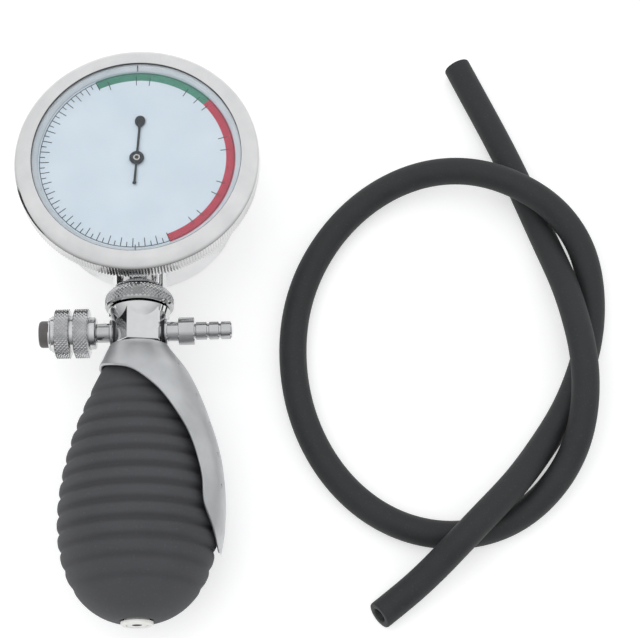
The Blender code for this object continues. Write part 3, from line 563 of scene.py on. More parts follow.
def bumped(tree, height, strength, depth):
    """A bump whose depth is in millimetres."""
    bump = tree.nodes.new("ShaderNodeBump")
    bump.inputs["Strength"].default_value = strength
    bump.inputs["Distance"].default_value = depth * MM
    tree.links.new(height, bump.inputs["Height"])
    return bump.outputs["Normal"]


def metal(name, dark, light, gloss, stretch=(300, 300, 9000), scratch=0.05, cloud_scale=110.0):
    """Plated or bare metal: clouded tone, uneven gloss and hairline scratches."""
    finish, tree, into, place = blank(name, metallic=1.0)
    cloud = add(tree, clouding, place, Scale=cloud_scale, Dark=dark, Light=light)
    lines = add(tree, hairlines, place, Stretch=stretch)
    tree.links.new(cloud["Color"], into["Base Color"])
    tree.links.new(remap(tree, cloud["Mask"], 0, 1, gloss[1], gloss[0]), into["Roughness"])
    tree.links.new(bumped(tree, lines["Height"], scratch, 0.004), into["Normal"])
    return finish


def coated(name, dark, light, rough, grain_scale, bump, depth, specular=0.5, cloud_scale=90.0):
    """Plastic, paint or print: clouded colour, uneven gloss and a fine grain."""
    finish, tree, into, place = blank(name, specular=specular)
    cloud = add(tree, clouding, place, Scale=cloud_scale, Dark=dark, Light=light)
    surface = add(tree, grain, place, Scale=grain_scale)
    tree.links.new(cloud["Color"], into["Base Color"])
    tree.links.new(remap(tree, cloud["Mask"], 0, 1, rough[0], rough[1]), into["Roughness"])
    tree.links.new(bumped(tree, surface["Height"], bump, depth), into["Normal"])
    return finish


def printed(name, dark, light, rough=(0.45, 0.6), cloud_scale=600.0):
    """Ink on the dial: the same fine grain in every colour."""
    return coated(name, dark, light, rough, grain_scale=5000.0, bump=0.1, depth=0.01, cloud_scale=cloud_scale)


def bulb_rubber():
    """Dull grey-black rubber with painted shade that darkens it down in the grooves, and a little pale bloom on
    the ribs.
    """
    finish, tree, into, place = blank("bulb rubber", specular=0.35)
    cloud = add(tree, clouding, place, Scale=70.0, Dark=(0.053, 0.054, 0.058), Light=(0.068, 0.069, 0.074))
    dust = add(tree, specks, place, Scale=1500.0, Amount=0.30)
    surface = add(tree, grain, place, Scale=3200.0)
    groove = tree.nodes.new("ShaderNodeAttribute")
    groove.attribute_name = "groove"
    bloom = mixed(tree, dust["Mask"], cloud["Color"], (0.098, 0.100, 0.105))
    # Painted shade: the colour goes near black down in the grooves, by the groove attribute.
    shaded = mixed(tree, groove.outputs["Fac"], bloom, (0.022, 0.022, 0.025))
    tree.links.new(shaded, into["Base Color"])
    tree.links.new(remap(tree, cloud["Mask"], 0, 1, 0.62, 0.74), into["Roughness"])
    tree.links.new(bumped(tree, surface["Height"], 0.35, 0.05), into["Normal"])
    return finish


def hose_rubber():
    """Black rubber hose with a fine dusty grain."""
    finish, tree, into, place = blank("hose rubber", specular=0.4)
    cloud = add(tree, clouding, place, Scale=120.0, Dark=(0.018, 0.019, 0.020), Light=(0.026, 0.028, 0.029))
    dust = add(tree, specks, place, Scale=1900.0, Amount=0.35)
    surface = add(tree, grain, place, Scale=2600.0)
    tree.links.new(mixed(tree, dust["Mask"], cloud["Color"], (0.058, 0.061, 0.063)), into["Base Color"])
    tree.links.new(remap(tree, cloud["Mask"], 0, 1, 0.55, 0.70), into["Roughness"])
    tree.links.new(bumped(tree, surface["Height"], 0.5, 0.06), into["Normal"])
    return finish


def lens_glass():
    """Clear lens that lets the light through to the dial."""
    finish, tree, into, place = blank("lens glass")
    cloud = add(tree, clouding, place, Scale=60.0, Dark=(0.97, 0.985, 0.99), Light=(1.0, 1.0, 1.0))
    into["Transmission Weight"].default_value = 1.0
    into["IOR"].default_value = 1.2
    tree.links.new(cloud["Color"], into["Base Color"])
    tree.links.new(remap(tree, cloud["Mask"], 0, 1, 0.010, 0.030), into["Roughness"])
    clear = tree.nodes.new("ShaderNodeBsdfTransparent")
    path = tree.nodes.new("ShaderNodeLightPath")
    mix = tree.nodes.new("ShaderNodeMixShader")
    tree.links.new(path.outputs["Is Shadow Ray"], mix.inputs["Fac"])
    tree.links.new(tree.nodes["Principled BSDF"].outputs["BSDF"], mix.inputs[1])
    tree.links.new(clear.outputs["BSDF"], mix.inputs[2])
    tree.links.new(mix.outputs["Shader"], tree.nodes["Material Output"].inputs["Surface"])
    return finish


CHROME = metal("chrome plate", (0.60, 0.605, 0.61), (0.70, 0.70, 0.705), (0.05, 0.11))
PORT_CHROME = metal("port chrome", (0.47, 0.475, 0.48), (0.56, 0.56, 0.565), (0.06, 0.12))
# Painted light: the can's chrome is lighter than the other chrome, to stand in for the brightness its side takes
# from the light.
CAN_CHROME_PAINTED_LIGHTER = metal("can chrome painted lighter", (0.74, 0.745, 0.75), (0.80, 0.80, 0.805), (0.05, 0.09), cloud_scale=60.0)
RING_CHROME = metal("ring chrome", (0.66, 0.66, 0.66), (0.74, 0.735, 0.735), (0.10, 0.17), scratch=0.08)
KNURL_CHROME = metal("knurled chrome", (0.58, 0.585, 0.59), (0.70, 0.70, 0.70), (0.10, 0.20),
                     cloud_scale=400.0)
NUT_CHROME = metal("nut chrome", (0.48, 0.485, 0.49), (0.59, 0.59, 0.59), (0.03, 0.08), cloud_scale=400.0)
SATIN_STEEL = metal("satin palm shell", (0.53, 0.54, 0.55), (0.61, 0.62, 0.63), (0.42, 0.50),
                    stretch=(900, 900, 900), scratch=0.10)
BRASS = metal("machined brass", (0.62, 0.46, 0.20), (0.78, 0.61, 0.31), (0.22, 0.36), cloud_scale=300.0)
SPRING_STEEL = metal("drawn steel", (0.46, 0.47, 0.49), (0.58, 0.59, 0.61), (0.22, 0.34), cloud_scale=300.0)
BULB_RUBBER = bulb_rubber()
HOSE_RUBBER = hose_rubber()
SEAL_RUBBER = coated("seal rubber", (0.016, 0.016, 0.016), (0.026, 0.026, 0.026), (0.7, 0.85),
                     grain_scale=4000.0, bump=0.3, depth=0.03)
PALE_PLASTIC = coated("pale inner ring", (0.52, 0.57, 0.61), (0.60, 0.64, 0.68), (0.35, 0.5),
                      grain_scale=3000.0, bump=0.1, depth=0.01)
DIAL_PAINT = coated("dial paint", (0.545, 0.622, 0.690), (0.590, 0.665, 0.730), (0.45, 0.55),
                    grain_scale=5000.0, bump=0.08, depth=0.01)
GREEN_PRINT = printed("green print", (0.058, 0.205, 0.145), (0.080, 0.250, 0.185))
RED_PRINT = printed("red print", (0.39, 0.048, 0.075), (0.46, 0.066, 0.098))
BLACK_PRINT = printed("black print", (0.035, 0.042, 0.050), (0.060, 0.068, 0.078), (0.5, 0.65),
                      cloud_scale=900.0)
POINTER_PAINT = coated("pointer paint", (0.016, 0.020, 0.024), (0.030, 0.035, 0.040), (0.35, 0.5),
                       grain_scale=4000.0, bump=0.1, depth=0.01)
BUTTON_PLASTIC = coated("button plastic", (0.085, 0.077, 0.077), (0.115, 0.103, 0.101), (0.35, 0.5),
                        grain_scale=3000.0, bump=0.2, depth=0.02, cloud_scale=500.0)
CREAM_PLASTIC = coated("cream plastic", (0.86, 0.86, 0.82), (0.92, 0.92, 0.88), (0.35, 0.5),
                       grain_scale=2500.0, bump=0.1, depth=0.02, cloud_scale=400.0)
LENS_GLASS = lens_glass()


def dress(piece, finish, body, slot, *stands_for):
    """Gives a piece its finish and its body, and hides the CAD nodes that it stands for."""
    piece.data.materials.clear()
    piece.data.materials.append(finish)
    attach(piece, body)
    if stands_for:
        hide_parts(*stands_for)
    return piece


def fitting(name, outline, steps, place, finish, body, slot, *stands_for):
    """A turned piece with its finish: a bar if its outline starts on the axis, or else a ring."""
    spin = turned if outline[0][0] == 0 else turned_ring
    piece = settle(spin(name, outline, steps), place)
    return dress(piece, finish, body, slot, *stands_for)


# Camera

view = bpy.data.objects.new("camera", bpy.data.cameras.new("camera"))
bpy.context.scene.collection.objects.link(view)
view.location = EYE
view.rotation_euler = (TARGET - EYE).to_track_quat("-Z", "Y").to_euler()
view.data.lens = LENS
view.data.sensor_width = FILM
bpy.context.scene.camera = view


# Hose

def make_hose():
    """A rubber tube along the route, hollow from end to end."""
    route = smooth_route(HOSE_ROUTE, HOSE_STEPS)
    hose = round_tube("rubber_hose", route / MM, HOSE_R / MM, resolution=10)
    choose(hose)
    wall = hose.modifiers.new("wall", "SOLIDIFY")
    wall.thickness = HOSE_R - HOSE_BORE_R
    wall.offset = -1
    bpy.ops.object.modifier_apply(modifier=wall.name)
    end = Vector(route[-1])
    onward = (end - Vector(route[-2])).normalized()
    for point in hose.data.vertices:
        from_end = point.co - end
        if from_end.length < 1.2 * HOSE_R and abs(from_end.dot(onward)) < HOSE_R / 10:
            point.co -= onward * from_end.z * HOSE_SLANT
    soften(hose, 0.35, 2, 60)
    settle(hose, ON_FLOOR, SMOOTH_SHEET)
    dress(hose, HOSE_RUBBER, "hose", "hose_rubber", "hose")


make_hose()


# Bulb, palm shell and end valve

def crest_radius(height):
    """The bulb's outline over its ribs: a taper above the belly and a full round end below it."""
    if height > BELLY:
        share = (height - BELLY) / (NECK_FULL - BELLY)
        return BULB_R - NECK_DROP * share ** NECK_TAPER
    share = (height - BELLY) / (BULB_END - BELLY)
    return BULB_R * (1 - share ** END_FULLNESS) ** (1 / END_FULLNESS)


def groove_share(height):
    """How deep into a groove this height lies, from 0 on a rib to 1 at the bottom."""
    pitch = (LAST_GROOVE - FIRST_GROOVE) / (GROOVES - 1)
    beyond = max(height - FIRST_GROOVE, LAST_GROOVE - height) > abs(pitch) / 2
    if beyond:
        return 0.0
    count = (height - FIRST_GROOVE) / pitch
    fade = np.interp(count, (0, 2, GROOVES - 4, GROOVES - 1), (0.6, 1.0, 1.0, 0.45))
    return float(fade) * (0.5 + 0.5 * math.cos(count * FULL_TURN)) ** GROOVE_SHARPNESS


def make_bulb():
    """Ribs outside, a smooth hollow inside."""
    heights = np.linspace(BULB_TOP, BULB_LIP, 220)
    outer = [(crest_radius(height) - GROOVE_DEPTH * groove_share(height), height) for height in heights]
    inner = [(END_BORE_R, BULB_LIP + 0.4), (END_BORE_R, -75.0)]
    inner += [(crest_radius(height) - BULB_WALL, height) for height in np.linspace(*BULB_INSIDE, 20)]
    inner += [(NECK_BORE_R, -15.0), (NECK_BORE_R, BULB_TOP)]
    bulb = turned_ring("ribbed_bulb", outer + inner, 96)
    settle(bulb, ALONG_PUMP, SMOOTH_ROUND)
    # Painted shade: a point attribute that grows with how deep each point lies in a groove, and the bulb rubber
    # darkens its colour by it.
    depth = bulb.data.attributes.new("groove", "FLOAT", "POINT")
    painted_groove_shade = [groove_share((point.co.y - crossing.y) / MM) * GROOVE_SHADE for point in bulb.data.vertices]
    depth.data.foreach_set("value", painted_groove_shade)
    bulb.data.materials.append(BULB_RUBBER)
    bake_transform(bulb)
    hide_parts("bulb")


def shell_radius(height):
    heights = [place[1] for place in SHELL_OUTSIDE[::-1]]
    return float(np.interp(height, heights, [place[0] for place in SHELL_OUTSIDE[::-1]]))


def tuck(height):
    """How much narrower the shell is on its open side, where it lies close to the bulb."""
    heights = [row[0] for row in SHELL_TUCK[::-1]]
    return float(np.interp(height, heights, [row[1] for row in SHELL_TUCK[::-1]]))


def shell_rim():
    """The shell's cut edge, once round: over the front from left to tip, and back underneath."""
    over = []
    for x, height in smooth_outline(SHELL_EDGE, 90):
        radius = shell_radius(height) - SHELL_WALL / 2
        across = x / tuck(height) if x < 0 else x
        if abs(across) < radius:
            over.append((x, height, math.sqrt(radius ** 2 - across ** 2)))
    front = [(x, -up, height) for x, height, up in over]
    back = [(x, up, height) for x, height, up in over[::-1]]
    return front + back


def make_palm_shell():
    """Turned sheet, narrowed on its open side, cut along its edge and given a rolled rim."""
    outside = smooth_outline(SHELL_OUTSIDE, 44)
    inside = [(radius - SHELL_WALL, height) for radius, height in outside[:0:-1]]
    collar = outside[0][0]
    top = [(3.0, -4.4), (collar - 0.6, -4.4), (collar - 0.25, -4.46), (collar - 0.06, -4.65)]
    under = [(collar - SHELL_WALL, -5.6), (3.0, -5.6)]
    shell = turned_ring("palm_shell_sheet", top + outside + inside + under, 128)
    for height in sorted({height for _, height in outside + inside}):
        pick(lambda place: place.x < 0 and abs(place.z - height) < SAME_HEIGHT)
        bpy.ops.transform.resize(value=(tuck(height), 1, 1), center_override=(0, 0, 0))
    settle(shell, ALONG_PUMP)
    edge = smooth_outline(SHELL_EDGE, 60)
    beyond = [(30, edge[-1][1]), (30, -75), (-30, -75), (-30, edge[0][1])]
    waste = plate("shell_waste", edge + beyond, -30, 30)
    settle(waste, seat(crossing, (0, 0, 0)))
    combine(shell, waste, "DIFFERENCE")
    for x, height in DIMPLES:
        up = math.sqrt(shell_radius(height) ** 2 - x ** 2)
        pit = turned("shell_pit", ((0, -0.6), (0.5, -0.5), (0.7, 0), (0.5, 0.5), (0, 0.6)), 16)
        settle(pit, seat(crossing + Vector((x, height, up)) * MM, (0, 0, 0)))
        combine(shell, pit, "DIFFERENCE")
    settle(shell, ON_FLOOR, SMOOTH_SHEET)
    dress(shell, SATIN_STEEL, "pump", "satin_steel", "palm_shell")
    rim = round_tube("palm_shell_rim", shell_rim(), SHELL_RIM_R, closed=True, resolution=3)
    settle(rim, ALONG_PUMP, SMOOTH_ROUND)
    dress(rim, SATIN_STEEL, "pump", "satin_steel")


def make_end_valve():
    """Flange in the end of the bulb, with a plug and the dark inlet in its middle."""
    fitting("end_valve_flange", (
        (2.9, -79.0), (3.8, -79.0), (4.1, -78.85), (4.2, -78.55), (4.2, -78.1), (3.3, -78.1), (3.3, -74.7),
        (4.3, -74.6), (3.2, -72.0), (1.0, -72.0), (1.0, -74.5), (2.4, -74.5), (2.4, -77.8), (2.9, -77.8),
    ), 48, ALONG_PUMP, CREAM_PLASTIC, "pump", "cream_plastic", "end_valve_body")
    fitting("end_valve_plug", (
        (1.28, -78.85), (1.4, -78.9), (2.55, -78.9), (2.75, -78.7), (2.75, -77.95), (1.28, -77.95),
    ), 48, ALONG_PUMP, CREAM_PLASTIC, "pump", "cream_plastic", "end_valve_cap")
    fitting("end_valve_inlet", (
        (0, -78.75), (0.9, -78.8), (1.25, -78.86), (1.25, -78.1), (0, -78.1),
    ), 32, ALONG_PUMP, SEAL_RUBBER, "pump", "seal_rubber")


make_bulb()
make_palm_shell()
make_end_valve()


# Valve block, nipple and release valve

def make_valve_block():
    """Six-sided bar with two port flats and the bowl that flares up under the nut."""
    block = turned("hexagonal_block", ((0, -4.1), (8.25, -4.1), (8.25, 5.75), (0, 5.75)), 6)
    settle(block, ALONG_PUMP @ Matrix.Rotation(BLOCK_TURN, 4, "Z"))
    for side in (-1, 1):
        near, far = sorted((side * PORT_FLAT, side * 12.0))
        flat = plate("port_flat", ((near, -9), (far, -9), (far, 4.0), (near, 4.0)), -10, 10)
        settle(flat, seat(crossing, (0, 0, 0)))
        combine(block, flat, "DIFFERENCE")
    soften(block, 0.22, 2)
    flare = turned("block_flare", (
        (0, -7.8), (6.5, -7.8), (6.75, -7.0), (7.05, -6.3), (7.45, -5.5), (7.8, -4.7), (8.1, -3.9),
        (8.3, -3.2), (8.1, -3.0), (6.6, -2.95), (6.6, -0.9), (0, -0.9),
    ), 96)
    settle(flare, STEM)
    combine(block, flare, "UNION")
    settle(block, ON_FLOOR, SMOOTH_BLOCK)
    dress(block, CHROME, "pump", "chrome", "valve_block")


def make_union_nut():
    """Knurled nut whose upper rows draw in to a crown."""
    pitch, rows, columns, radius = 0.5, 8, 104, 9.3
    outline = [(6.9, -2.6), (8.3, -2.6), (8.9, -2.4), (9.2, -2.0)]
    low = -1.7
    outline += band(radius, low, pitch, rows)
    outline += [(9.1, 2.45), (8.8, 2.6), (5.0, 2.6), (5.0, 1.4), (6.9, 1.4)]
    nut = turned_ring("knurled_union_nut", outline, columns)
    knurl(radius, low, pitch, rows, columns)
    split_diamonds()
    for height, crown in ((0.8, 9.15), (1.3, 8.9), (1.8, 8.5), (2.3, 8.0), (2.45, 7.75), (2.6, 7.4)):
        pick(lambda place: abs(place.z - height) < SAME_HEIGHT and place.xy.length > 7)
        share = crown / radius
        bpy.ops.transform.resize(value=(share, share, 1), center_override=(0, 0, 0))
    settle(nut, STEM, SMOOTH_KNURL)
    dress(nut, NUT_CHROME, "pump", "chrome", "union_nut")


def make_nipple():
    """Port fitting with a collar and three barbs for the hose."""
    outline = [
        (1.1, 3.6), (2.6, 3.6), (2.6, 6.9), (3.35, 6.9), (3.5, 7.0), (3.5, 7.5), (3.35, 7.65), (2.65, 7.65),
        (2.65, 10.6), (3.6, 10.6), (3.75, 10.75), (3.75, 14.75), (3.6, 14.9), (2.0, 14.9),
    ]
    for low, high in ((15.2, 18.2), (18.7, 21.4), (21.9, 24.6)):
        outline += [(2.0, low), (2.3, low), (2.45, low + 0.15), (2.45, high - 0.15), (2.3, high), (2.0, high)]
    outline += [(1.95, 24.8), (1.1, 24.8)]
    fitting("barbed_nipple", outline, 64, TO_HOSE, PORT_CHROME, "pump", "chrome", "hose_nipple")


def make_valve_stem():
    fitting("release_valve_stem", (
        (1.3, 3.6), (2.6, 3.6), (2.6, 6.9), (3.35, 6.9), (3.5, 7.05), (3.5, 7.65), (3.35, 7.8), (2.6, 7.85),
        (2.6, 11.1), (2.1, 11.1), (2.1, 14.9), (1.3, 14.9),
    ), 64, TO_VALVE, PORT_CHROME, "pump", "chrome", "valve_stem")


def make_knob():
    """Knob with two knurled bands and a waist between them."""
    pitch, rows, columns, radius = 0.48, 7, 72, 6.7
    outline = [(2.5, 11.35), (3.9, 11.35), (4.4, 11.7), (4.4, 13.1), (6.1, 13.15), (6.45, 13.3)]
    inner_band, outer_band = 13.5, 18.6
    outline += band(radius, inner_band, pitch, rows)
    outline += [(6.45, 17.1), (6.1, 17.25), (5.0, 17.3), (5.0, 18.2), (6.1, 18.25), (6.45, 18.4)]
    outline += band(radius, outer_band, pitch, rows)
    outline += [(6.45, 22.2), (6.1, 22.35), (4.95, 22.4), (4.95, 23.2), (4.8, 23.3), (3.9, 23.3), (3.9, 16.5),
                (1.6, 16.5), (1.6, 15.5), (2.5, 15.5)]
    knob = turned_ring("knurled_knob", outline, columns)
    for low in (inner_band, outer_band):
        knurl(radius, low, pitch, rows, columns)
    split_diamonds()
    settle(knob, TO_VALVE, SMOOTH_KNURL)
    dress(knob, KNURL_CHROME, "valve_knob", "chrome", "valve_knob")


def make_button():
    fitting("button_guide", (
        (3.9, 23.4), (4.4, 23.4), (4.5, 23.5), (4.5, 23.85), (4.35, 24.0), (3.9, 24.0),
    ), 64, TO_VALVE, CHROME, "valve_knob", "chrome", "button_collar")
    fitting("release_button", (
        (0, 17.7), (1.1, 17.7), (1.1, 21.9), (3.4, 21.9), (3.6, 22.1), (3.6, 25.9), (3.45, 26.35),
        (3.1, 26.6), (1.8, 26.52), (0, 26.5),
    ), 64, TO_VALVE, BUTTON_PLASTIC, "push_button", "button_plastic", "push_button")


def make_return_spring():
    """The coil under the button."""
    low, high, turns, coil_radius, wire = 17.0, 21.3, 4, 2.1, 0.28
    coil = []
    for share in np.linspace(0, 1, turns * 20 + 1):
        angle = share * turns * FULL_TURN
        height = low + (high - low) * share
        coil.append((coil_radius * math.cos(angle), coil_radius * math.sin(angle), height))
    spring = round_tube("return_spring", coil, wire)
    choose(spring)
    bpy.ops.object.mode_set(mode="EDIT")
    bpy.ops.mesh.select_all(action="SELECT")
    bpy.ops.mesh.fill_holes(sides=0)
    close_up()
    settle(spring, TO_VALVE, SMOOTH_ROUND)
    dress(spring, SPRING_STEEL, "valve_knob", "spring_steel", "button_spring")
    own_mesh(spring)


make_valve_block()
make_union_nut()
make_nipple()
make_valve_stem()
make_knob()
make_button()
make_return_spring()


# Gauge

def make_gauge_case():
    """Deep can with a flange for the bezel and a neck that takes the stem."""
    can = turned("gauge_can", (
        (0, CAN_BACK), (24.6, CAN_BACK), (25.3, CAN_BACK + 0.2), (25.8, CAN_BACK + 0.7),
        (26.0, CAN_BACK + 1.4), (26.0, -3.1), (26.3, -2.6), (31.4, -2.6), (31.4, -0.9), (24.6, -0.9),
        (24.6, CAN_BACK + 1.4), (0, CAN_BACK + 1.4),
    ), 160)
    settle(can, GAUGE)
    boss = turned("case_neck", ((0, 3.0), (7.0, 3.0), (7.3, 3.3), (7.4, 8.0), (7.5, 13.0), (0, 13.0)), 64)
    settle(boss, STEM)
    combine(can, boss, "UNION")
    bore = turned("case_neck_bore", ((0, 2.0), (4.9, 2.0), (4.9, 15.0), (0, 15.0)), 48)
    settle(bore, STEM)
    combine(can, bore, "DIFFERENCE")
    settle(can, ON_FLOOR)
    # The can takes the chrome that is painted lighter.
    dress(can, CAN_CHROME_PAINTED_LIGHTER, "pump", "chrome", "gauge_case")


def make_bezel():
    """Rolled ring with fine flutes round its side."""
    columns = 500
    outline = [
        (31.8, -4.6), (32.7, -4.6), (RIM_R, -4.2), (RIM_R, 0.4), (33.13, 0.72), (32.9, 1.0), (32.4, 1.3),
        (31.6, 1.71), (30.8, 2.1), (30.1, 2.42), (29.5, 2.65), (29.1, 2.74), (28.75, 2.72), (28.5, 2.62),
        (28.4, 2.5), (28.8, 2.5), (28.8, 0.5), (31.8, 0.5),
    ]
    bezel = turned_ring("fluted_bezel", outline, columns)
    flute(RIM_R, -4.3, 0.5, columns, 0.32)
    settle(bezel, GAUGE, SMOOTH_KNURL)
    dress(bezel, RING_CHROME, "pump", "chrome", "bezel_ring")


def make_lens():
    """Flat lens between the pale inner ring and a dark seal."""
    fitting("gauge_lens", (
        (0, 1.4), (28.5, 1.4), (28.7, 1.55), (28.7, 2.05), (28.5, 2.2), (0, 2.2),
    ), 128, GAUGE, LENS_GLASS, "pump", "lens_glass", "lens")
    fitting("inner_ring", (
        (26.9, 0.3), (28.75, 0.3), (28.75, 1.36), (28.3, 1.36), (27.6, 0.95), (27.05, 0.45),
    ), 160, GAUGE, PALE_PLASTIC, "pump", "pale_plastic", "lens_gasket")
    fitting("lens_seal", (
        (28.26, 2.23), (28.74, 2.23), (28.74, 2.46), (28.32, 2.46),
    ), 160, GAUGE, SEAL_RUBBER, "pump", "seal_rubber")


def coloured_arc(name, begin, sweep, finish):
    """A printed arc, clockwise from its first angle, just above the dial."""
    arc = start(name)
    draw(((ARC_INSIDE, 0, PRINT_LOW), (ARC_OUTSIDE, 0, PRINT_LOW)))
    bpy.ops.mesh.select_all(action="SELECT")
    bpy.ops.mesh.spin(steps=round(sweep), angle=math.radians(sweep), center=(0, 0, 0), axis=(0, 0, 1))
    bpy.ops.mesh.select_all(action="SELECT")
    bpy.ops.mesh.extrude_region_move(TRANSFORM_OT_translate={"value": (0, 0, ARC_THICK * MM)})
    close_up()
    settle(arc, GAUGE @ Matrix.Rotation(math.radians(90 - begin), 4, "Z"))
    dress(arc, finish, "pump", "dial_paint")


def tick_ring(name, reach, depth, degrees, width=TICK_WIDTH, low=PRINT_LOW, high=TICK_TOP):
    """Printed marks round the dial, drawn once and copied."""
    half, foot = width / 2, reach - depth
    tick = plate(name, ((-half, foot), (half, foot), (half, reach), (-half, reach)), low, high)
    ring = copies_round(tick, degrees)
    settle(ring, GAUGE)
    dress(ring, BLACK_PRINT, "pump", "dial_paint")


def make_dial():
    """Plate, two coloured arcs, the ring of marks and the line under them."""
    fitting("dial_face", (
        (1.2, -0.6), (28.3, -0.6), (28.4, -0.5), (28.4, -0.1), (28.3, 0), (1.2, 0),
    ), 160, GAUGE, DIAL_PAINT, "pump", "dial_paint", "dial_plate")
    coloured_arc("green_arc", GREEN_FROM, RED_FROM - GREEN_FROM, GREEN_PRINT)
    coloured_arc("red_arc", RED_FROM, SCALE_FROM - RED_FROM, RED_PRINT)
    spread = 360 + GREEN_FROM - SCALE_FROM
    turns = [SCALE_FROM + spread * step / SCALE_STEPS for step in range(SCALE_STEPS + 1)]
    tick_ring("long_ticks", 26.3, 2.5, turns[0::2])
    tick_ring("short_ticks", 26.3, 1.35, turns[1::2])
    tick_ring("arc_ticks", 25.3, 2.6, ARC_TICKS)
    tick_ring("index_marks", 28.2, 1.9, (0, 180), width=0.24, low=1.28, high=1.37)
    fitting("scale_line", (
        (26.25, PRINT_LOW), (26.45, PRINT_LOW), (26.45, 0.05), (26.25, 0.05),
    ), 160, GAUGE, BLACK_PRINT, "pump", "dial_paint")


def make_pointer():
    """Flat hand with a round blob, a hub and a short tail, on its eye and pin."""
    right = [(0.35, -8.0), (0.55, -7.75), (0.50, -7.4), (0.32, -7.2), (0.30, -1.97)]
    hub = np.linspace(0.3, math.pi - 0.3, 14)
    right += [(HUB_R * math.sin(turn), -HUB_R * math.cos(turn)) for turn in hub]
    right += [(0.32, 2.05), (0.30, 9.3), (0.62, 9.6), (1.08, 10.1), (1.38, 10.8), (1.42, 11.5), (1.18, 12.2),
              (0.70, 12.7), (0.0, 12.9)]
    left = [(-x, y) for x, y in right[-2::-1]]
    hand = plate("gauge_pointer", right + left, 0.5, 0.8)
    rest = GAUGE @ Matrix.Rotation(math.radians(-POINTER_REST), 4, "Z")
    settle(hand, rest)
    soften(hand, 0.08)
    settle(hand, ON_FLOOR)
    dress(hand, POINTER_PAINT, "pointer", "pointer_paint", "pointer")
    fitting("pointer_eye", (
        (0.55, 0.81), (0.95, 0.81), (0.95, 0.95), (0.85, 1.05), (0.65, 1.05), (0.55, 0.98),
    ), 40, GAUGE, SPRING_STEEL, "pointer", "spring_steel")
    fitting("pointer_pin", (
        (0, 1.02), (0.42, 1.02), (0.42, 1.08), (0.3, 1.14), (0, 1.16),
    ), 32, GAUGE, POINTER_PAINT, "pointer", "pointer_paint")


make_gauge_case()
make_bezel()
make_lens()
make_dial()
make_pointer()


# Finishes of the CAD nodes that stay

FINISH_OF = {
    "chrome": CHROME,
    "brass": BRASS,
    "spring_steel": SPRING_STEEL,
    "seal_rubber": SEAL_RUBBER,
    "pale_plastic": PALE_PLASTIC,
    "cream_plastic": CREAM_PLASTIC,
    "dial_paint": DIAL_PAINT,
    "pointer_paint": POINTER_PAINT,
    "button_plastic": BUTTON_PLASTIC,
    "satin_steel": SATIN_STEEL,
    "bulb_rubber": BULB_RUBBER,
    "hose_rubber": HOSE_RUBBER,
    "lens_glass": LENS_GLASS,
}
for name, node in nodes.items():
    node.data.materials.clear()
    node.data.materials.append(FINISH_OF[slot_of[name]])


# Floor and light

def seen_rays(tree):
    """1 for the rays that the eye follows: straight, mirrored or through glass."""
    path = tree.nodes.new("ShaderNodeLightPath")
    seen = path.outputs["Is Camera Ray"]
    for ray in ("Is Glossy Ray", "Is Transmission Ray"):
        either = tree.nodes.new("ShaderNodeMath")
        either.operation = "MAXIMUM"
        tree.links.new(seen, either.inputs[0])
        tree.links.new(path.outputs[ray], either.inputs[1])
        seen = either.outputs["Value"]
    return seen


def floor_finish():
    """Pale floor that reads white to the eye and in reflections, and still takes the shadow."""
    finish, tree, into, place = blank("pale floor", specular=0.0)
    cloud = add(tree, clouding, place, Scale=3.0, Dark=(0.71, 0.71, 0.71), Light=(0.73, 0.73, 0.73))
    tree.links.new(cloud["Color"], into["Base Color"])
    into["Roughness"].default_value = 1.0
    seen = seen_rays(tree)
    glow = tree.nodes.new("ShaderNodeEmission")
    lift = tree.nodes.new("ShaderNodeMath")
    lift.operation = "MULTIPLY"
    lift.inputs[1].default_value = FLOOR_LIFT
    tree.links.new(seen, lift.inputs[0])
    tree.links.new(lift.outputs["Value"], glow.inputs["Strength"])
    both = tree.nodes.new("ShaderNodeAddShader")
    tree.links.new(tree.nodes["Principled BSDF"].outputs["BSDF"], both.inputs[0])
    tree.links.new(glow.outputs["Emission"], both.inputs[1])
    tree.links.new(both.outputs["Shader"], tree.nodes["Material Output"].inputs["Surface"])
    return finish


def make_floor():
    bpy.ops.object.select_all(action="DESELECT")
    bpy.ops.mesh.primitive_plane_add(size=FLOOR_SIZE, location=(0, 0, -FLOOR_DROP))
    floor = bpy.context.object
    floor.name = "pale_floor"
    floor.data.materials.append(floor_finish())


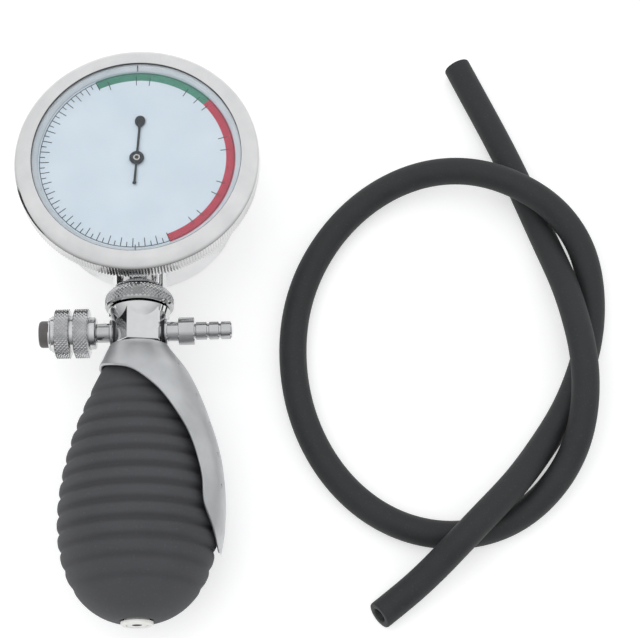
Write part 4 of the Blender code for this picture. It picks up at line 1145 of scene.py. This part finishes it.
def dark_card(name, place, aim, width, height):
    """A grey card beside the set, which only shows as a dark line in polished metal."""
    bpy.ops.object.select_all(action="DESELECT")
    bpy.ops.mesh.primitive_plane_add(size=1, location=place)
    card = bpy.context.object
    card.name = name
    card.scale = (width, height, 1)
    card.rotation_euler = (Vector(aim) - Vector(place)).to_track_quat("Z", "Y").to_euler()
    finish, tree, into, spot = blank(name + " grey", specular=0.0)
    cloud = add(tree, clouding, spot, Scale=4.0, Dark=(0.03, 0.03, 0.03), Light=(0.04, 0.04, 0.04))
    tree.links.new(cloud["Color"], into["Base Color"])
    card.data.materials.append(finish)
    card.visible_camera = False
    card.visible_diffuse = False
    card.visible_shadow = False
    card.visible_transmission = False


def soft_light(name, place, aim, size, energy):
    """A square lamp that does not show in polished metal."""
    light = bpy.data.objects.new(name, bpy.data.lights.new(name, "AREA"))
    light.data.shape = "SQUARE"
    light.data.size = size
    light.data.energy = energy
    light.location = place
    light.visible_glossy = False
    light.rotation_euler = (Vector(aim) - Vector(place)).to_track_quat("-Z", "Y").to_euler()
    bpy.context.scene.collection.objects.link(light)


def make_world():
    """An even sky to light the set, which metal sees as pale on one side and dark on the other."""
    world = bpy.data.worlds.new("studio")
    bpy.context.scene.world = world
    world.use_nodes = True
    tree = world.node_tree
    sky = tree.nodes["Background"]
    sky.inputs["Color"].default_value = (0.98, 0.99, 1.0, 1)
    facing = tree.nodes.new("ShaderNodeVectorMath")
    facing.operation = "DOT_PRODUCT"
    facing.inputs[1].default_value = PALE_SIDE
    tree.links.new(tree.nodes.new("ShaderNodeTexCoord").outputs["Generated"], facing.inputs[0])
    dome = remap(tree, facing.outputs["Value"], *DOME_FADE, DARK_SIDE, 1.0)
    strength = remap(tree, seen_rays(tree), 0.0, 1.0, WORLD_LIGHT, dome)
    tree.links.new(strength, sky.inputs["Strength"])


make_floor()
soft_light("overhead_light", LAMP_PLACE, LAMP_AIM, LAMP_SIZE, LAMP_WATTS)
dark_card("left_card", CARD_PLACE, CARD_AIM, CARD_WIDTH, CARD_HEIGHT)
make_world()
bpy.context.scene.view_settings.view_transform = "Standard"
